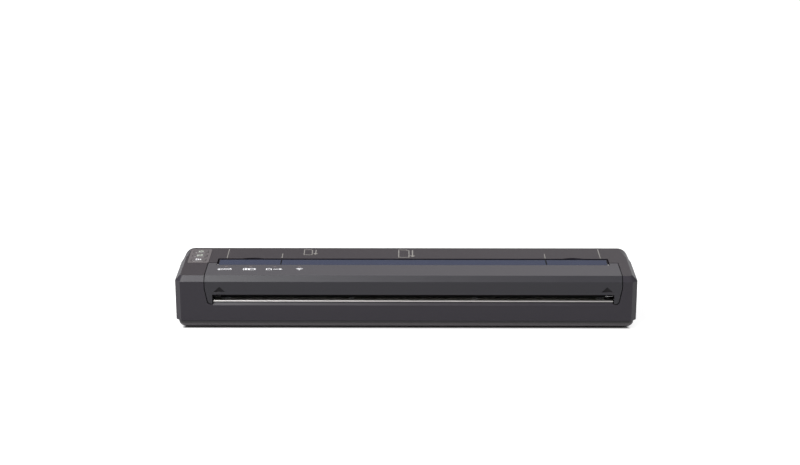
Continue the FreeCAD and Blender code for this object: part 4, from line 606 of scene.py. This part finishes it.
# Lift marks: smooth dark triangles in the recesses at both ends of the cover's front face, where
# two fingers lift it. Their dark colour is painted shade of the recesses.
front_y, recess_depth = -27.5, 0.6
mark_places, mark_low, mark_high, mark_width = (-102.9, 110.7), 22.3, 25.1, 6.1


def on_front(depth):
    """Plane that far inside the front: across is X and up the page is up."""
    return lambda p: np.stack([p[:, 0], front_y + depth - p[:, 2], p[:, 1]], 1)


# Painted shade: a dark plastic for the triangles on the recess floors.
recess_shade_plastic = textured("recess shade plastic", (0.010, 0.009, 0.011), (0.013, 0.012, 0.014),
                        0.5, 2.0, 0.01, shine=0.15)
triangles = [([(x, mark_low), (x, mark_high)], [mark_width, 0.1], False) for x in mark_places]
printed("lift_marks", triangles, on_front(recess_depth), ink, recess_shade_plastic, "cover",
        "casing_plastic")

# Table and backdrop: a round white floor that curves up into a low wall, lit by soft boxes. Its
# own look is lifted to white, except under the printer, where the shade stays.
floor_radius, bend_radius, backdrop_height = 6.0, 0.5, 0.9
floor_grey, floor_rough, floor_shine = (0.34, 0.34, 0.34), 0.9, 0.1
lift_strength = 0.78
shade_half_length, shade_half_depth, shade_fade = 125.0, 26.0, 2.5


def backdrop_rings(around=64):
    """Rings about Z: out to the bend, up a quarter circle, and straight up to the wall's top."""
    bend = np.linspace(0, math.pi / 2, 7)
    radius = np.append(floor_radius - bend_radius + bend_radius * np.sin(bend), floor_radius)
    height = np.append(bend_radius - bend_radius * np.cos(bend), backdrop_height)
    angle = np.linspace(0, 2 * math.pi, around, endpoint=False)
    x, y = radius[:, None] * np.cos(angle), radius[:, None] * np.sin(angle)
    points = np.stack([x, y, x * 0 + height[:, None]], -1).reshape(-1, 3)
    ring, step = np.arange(len(radius) - 1)[:, None] * around, np.arange(around)
    a, b = (ring + step).ravel(), (ring + np.roll(step, -1)).ravel()
    quads = np.stack([a, a + around, b + around, b], -1)
    return points, [step.tolist()] + quads.tolist()


table = bpy.data.meshes.new("table")
points, faces = backdrop_rings()
table.from_pydata(points.tolist(), [], faces)
table_top = bpy.data.objects.new("table", table)
bpy.context.collection.objects.link(table_top)
paper_white = bpy.data.materials.new("paper white")
paper_white.use_nodes = True
tree = paper_white.node_tree
paper = tree.nodes["Principled BSDF"]
paper.inputs["Base Color"].default_value = (*floor_grey, 1)
paper.inputs["Roughness"].default_value = floor_rough
paper.inputs["Specular IOR Level"].default_value = floor_shine


def seen_rays(tree):
    """1 for rays that show a surface to the camera, directly, mirrored or through glass."""
    path = tree.nodes.new("ShaderNodeLightPath")
    total = tree.nodes.new("ShaderNodeMath")
    total.operation = "MAXIMUM"
    both = tree.nodes.new("ShaderNodeMath")
    both.operation = "MAXIMUM"
    tree.links.new(path.outputs["Is Camera Ray"], total.inputs[0])
    tree.links.new(path.outputs["Is Glossy Ray"], total.inputs[1])
    tree.links.new(total.outputs[0], both.inputs[0])
    tree.links.new(path.outputs["Is Transmission Ray"], both.inputs[1])
    return both.outputs[0]


def beside_printer(tree):
    """0 under the printer and 1 beyond its outline, from the floor's own coordinates."""
    where = tree.nodes.new("ShaderNodeTexCoord")
    parts = tree.nodes.new("ShaderNodeSeparateXYZ")
    tree.links.new(where.outputs["Object"], parts.inputs[0])
    shares = []
    for axis, edge in (("X", shade_half_length), ("Y", shade_half_depth)):
        size, share = tree.nodes.new("ShaderNodeMath"), tree.nodes.new("ShaderNodeMapRange")
        size.operation = "ABSOLUTE"
        share.interpolation_type = "SMOOTHSTEP"
        share.inputs["From Min"].default_value = (edge - shade_fade) * mm
        share.inputs["From Max"].default_value = edge * mm
        tree.links.new(parts.outputs[axis], size.inputs[0])
        tree.links.new(size.outputs[0], share.inputs["Value"])
        shares.append(share)
    most = tree.nodes.new("ShaderNodeMath")
    most.operation = "MAXIMUM"
    tree.links.new(shares[0].outputs["Result"], most.inputs[0])
    tree.links.new(shares[1].outputs["Result"], most.inputs[1])
    return most.outputs[0]


lift = tree.nodes.new("ShaderNodeEmission")
lift_share, lift_level = tree.nodes.new("ShaderNodeMath"), tree.nodes.new("ShaderNodeMath")
lift_share.operation = lift_level.operation = "MULTIPLY"
lift_level.inputs[1].default_value = lift_strength
tree.links.new(seen_rays(tree), lift_share.inputs[0])
tree.links.new(beside_printer(tree), lift_share.inputs[1])
tree.links.new(lift_share.outputs[0], lift_level.inputs[0])
tree.links.new(lift_level.outputs[0], lift.inputs["Strength"])
add = tree.nodes.new("ShaderNodeAddShader")
tree.links.new(paper.outputs[0], add.inputs[0])
tree.links.new(lift.outputs[0], add.inputs[1])
tree.links.new(add.outputs[0], tree.nodes["Material Output"].inputs["Surface"])
table.materials.append(paper_white)

# Room and lamps: a dim even room and three soft boxes, all facing the middle of the table. The
# edge box at the left gives the front chamfer its brighter left end.
room_strength = 0.35
room = bpy.data.worlds.new("room")
bpy.context.scene.world = room
room.use_nodes = True
sky = room.node_tree.nodes["Background"]
sky.inputs["Color"].default_value = (1, 1, 1, 1)
sky.inputs["Strength"].default_value = room_strength


def soft_box(name, place, wide, high, watts):
    """Rectangular studio lamp that faces the origin, sizes in metres."""
    lamp = bpy.data.lights.new(name, "AREA")
    lamp.shape = "RECTANGLE"
    lamp.size, lamp.size_y, lamp.energy = wide, high, watts
    holder = bpy.data.objects.new(name, lamp)
    bpy.context.collection.objects.link(holder)
    way = -np.array(place)
    flat = math.hypot(way[0], way[1])
    holder.location = place
    holder.rotation_euler = (math.atan2(flat, -way[2]), 0, math.atan2(-way[0], way[1]))


soft_box("overhead box", (0.40, 0.55, 1.0), 0.9, 0.7, 7.0)
soft_box("front box", (-0.7, -1.3, 0.9), 0.9, 0.7, 1.4)
soft_box("edge box", (-0.60, -0.45, 1.2), 1.1, 0.25, 29.0)

# Camera: in front of the table and above it, with the lens and place that bring the corners and
# seams of the printer to where the photograph has them.
camera_lens, sensor_width, view_range = 80.0, 36.0, 100.0
camera_height = 0.3601
camera_distance = 0.9470
camera_pitch = 18.25
camera_turn = 0.21
camera_data = bpy.data.cameras.new("camera")
camera_data.lens = camera_lens
camera_data.sensor_width = sensor_width
camera_data.clip_end = view_range
camera = bpy.data.objects.new("camera", camera_data)
bpy.context.collection.objects.link(camera)
camera.location = (0, -camera_distance, camera_height)
camera.rotation_euler = (math.radians(90 - camera_pitch), 0, math.radians(camera_turn))
bpy.context.scene.camera = camera
bpy.context.scene.view_settings.view_transform = "Standard"
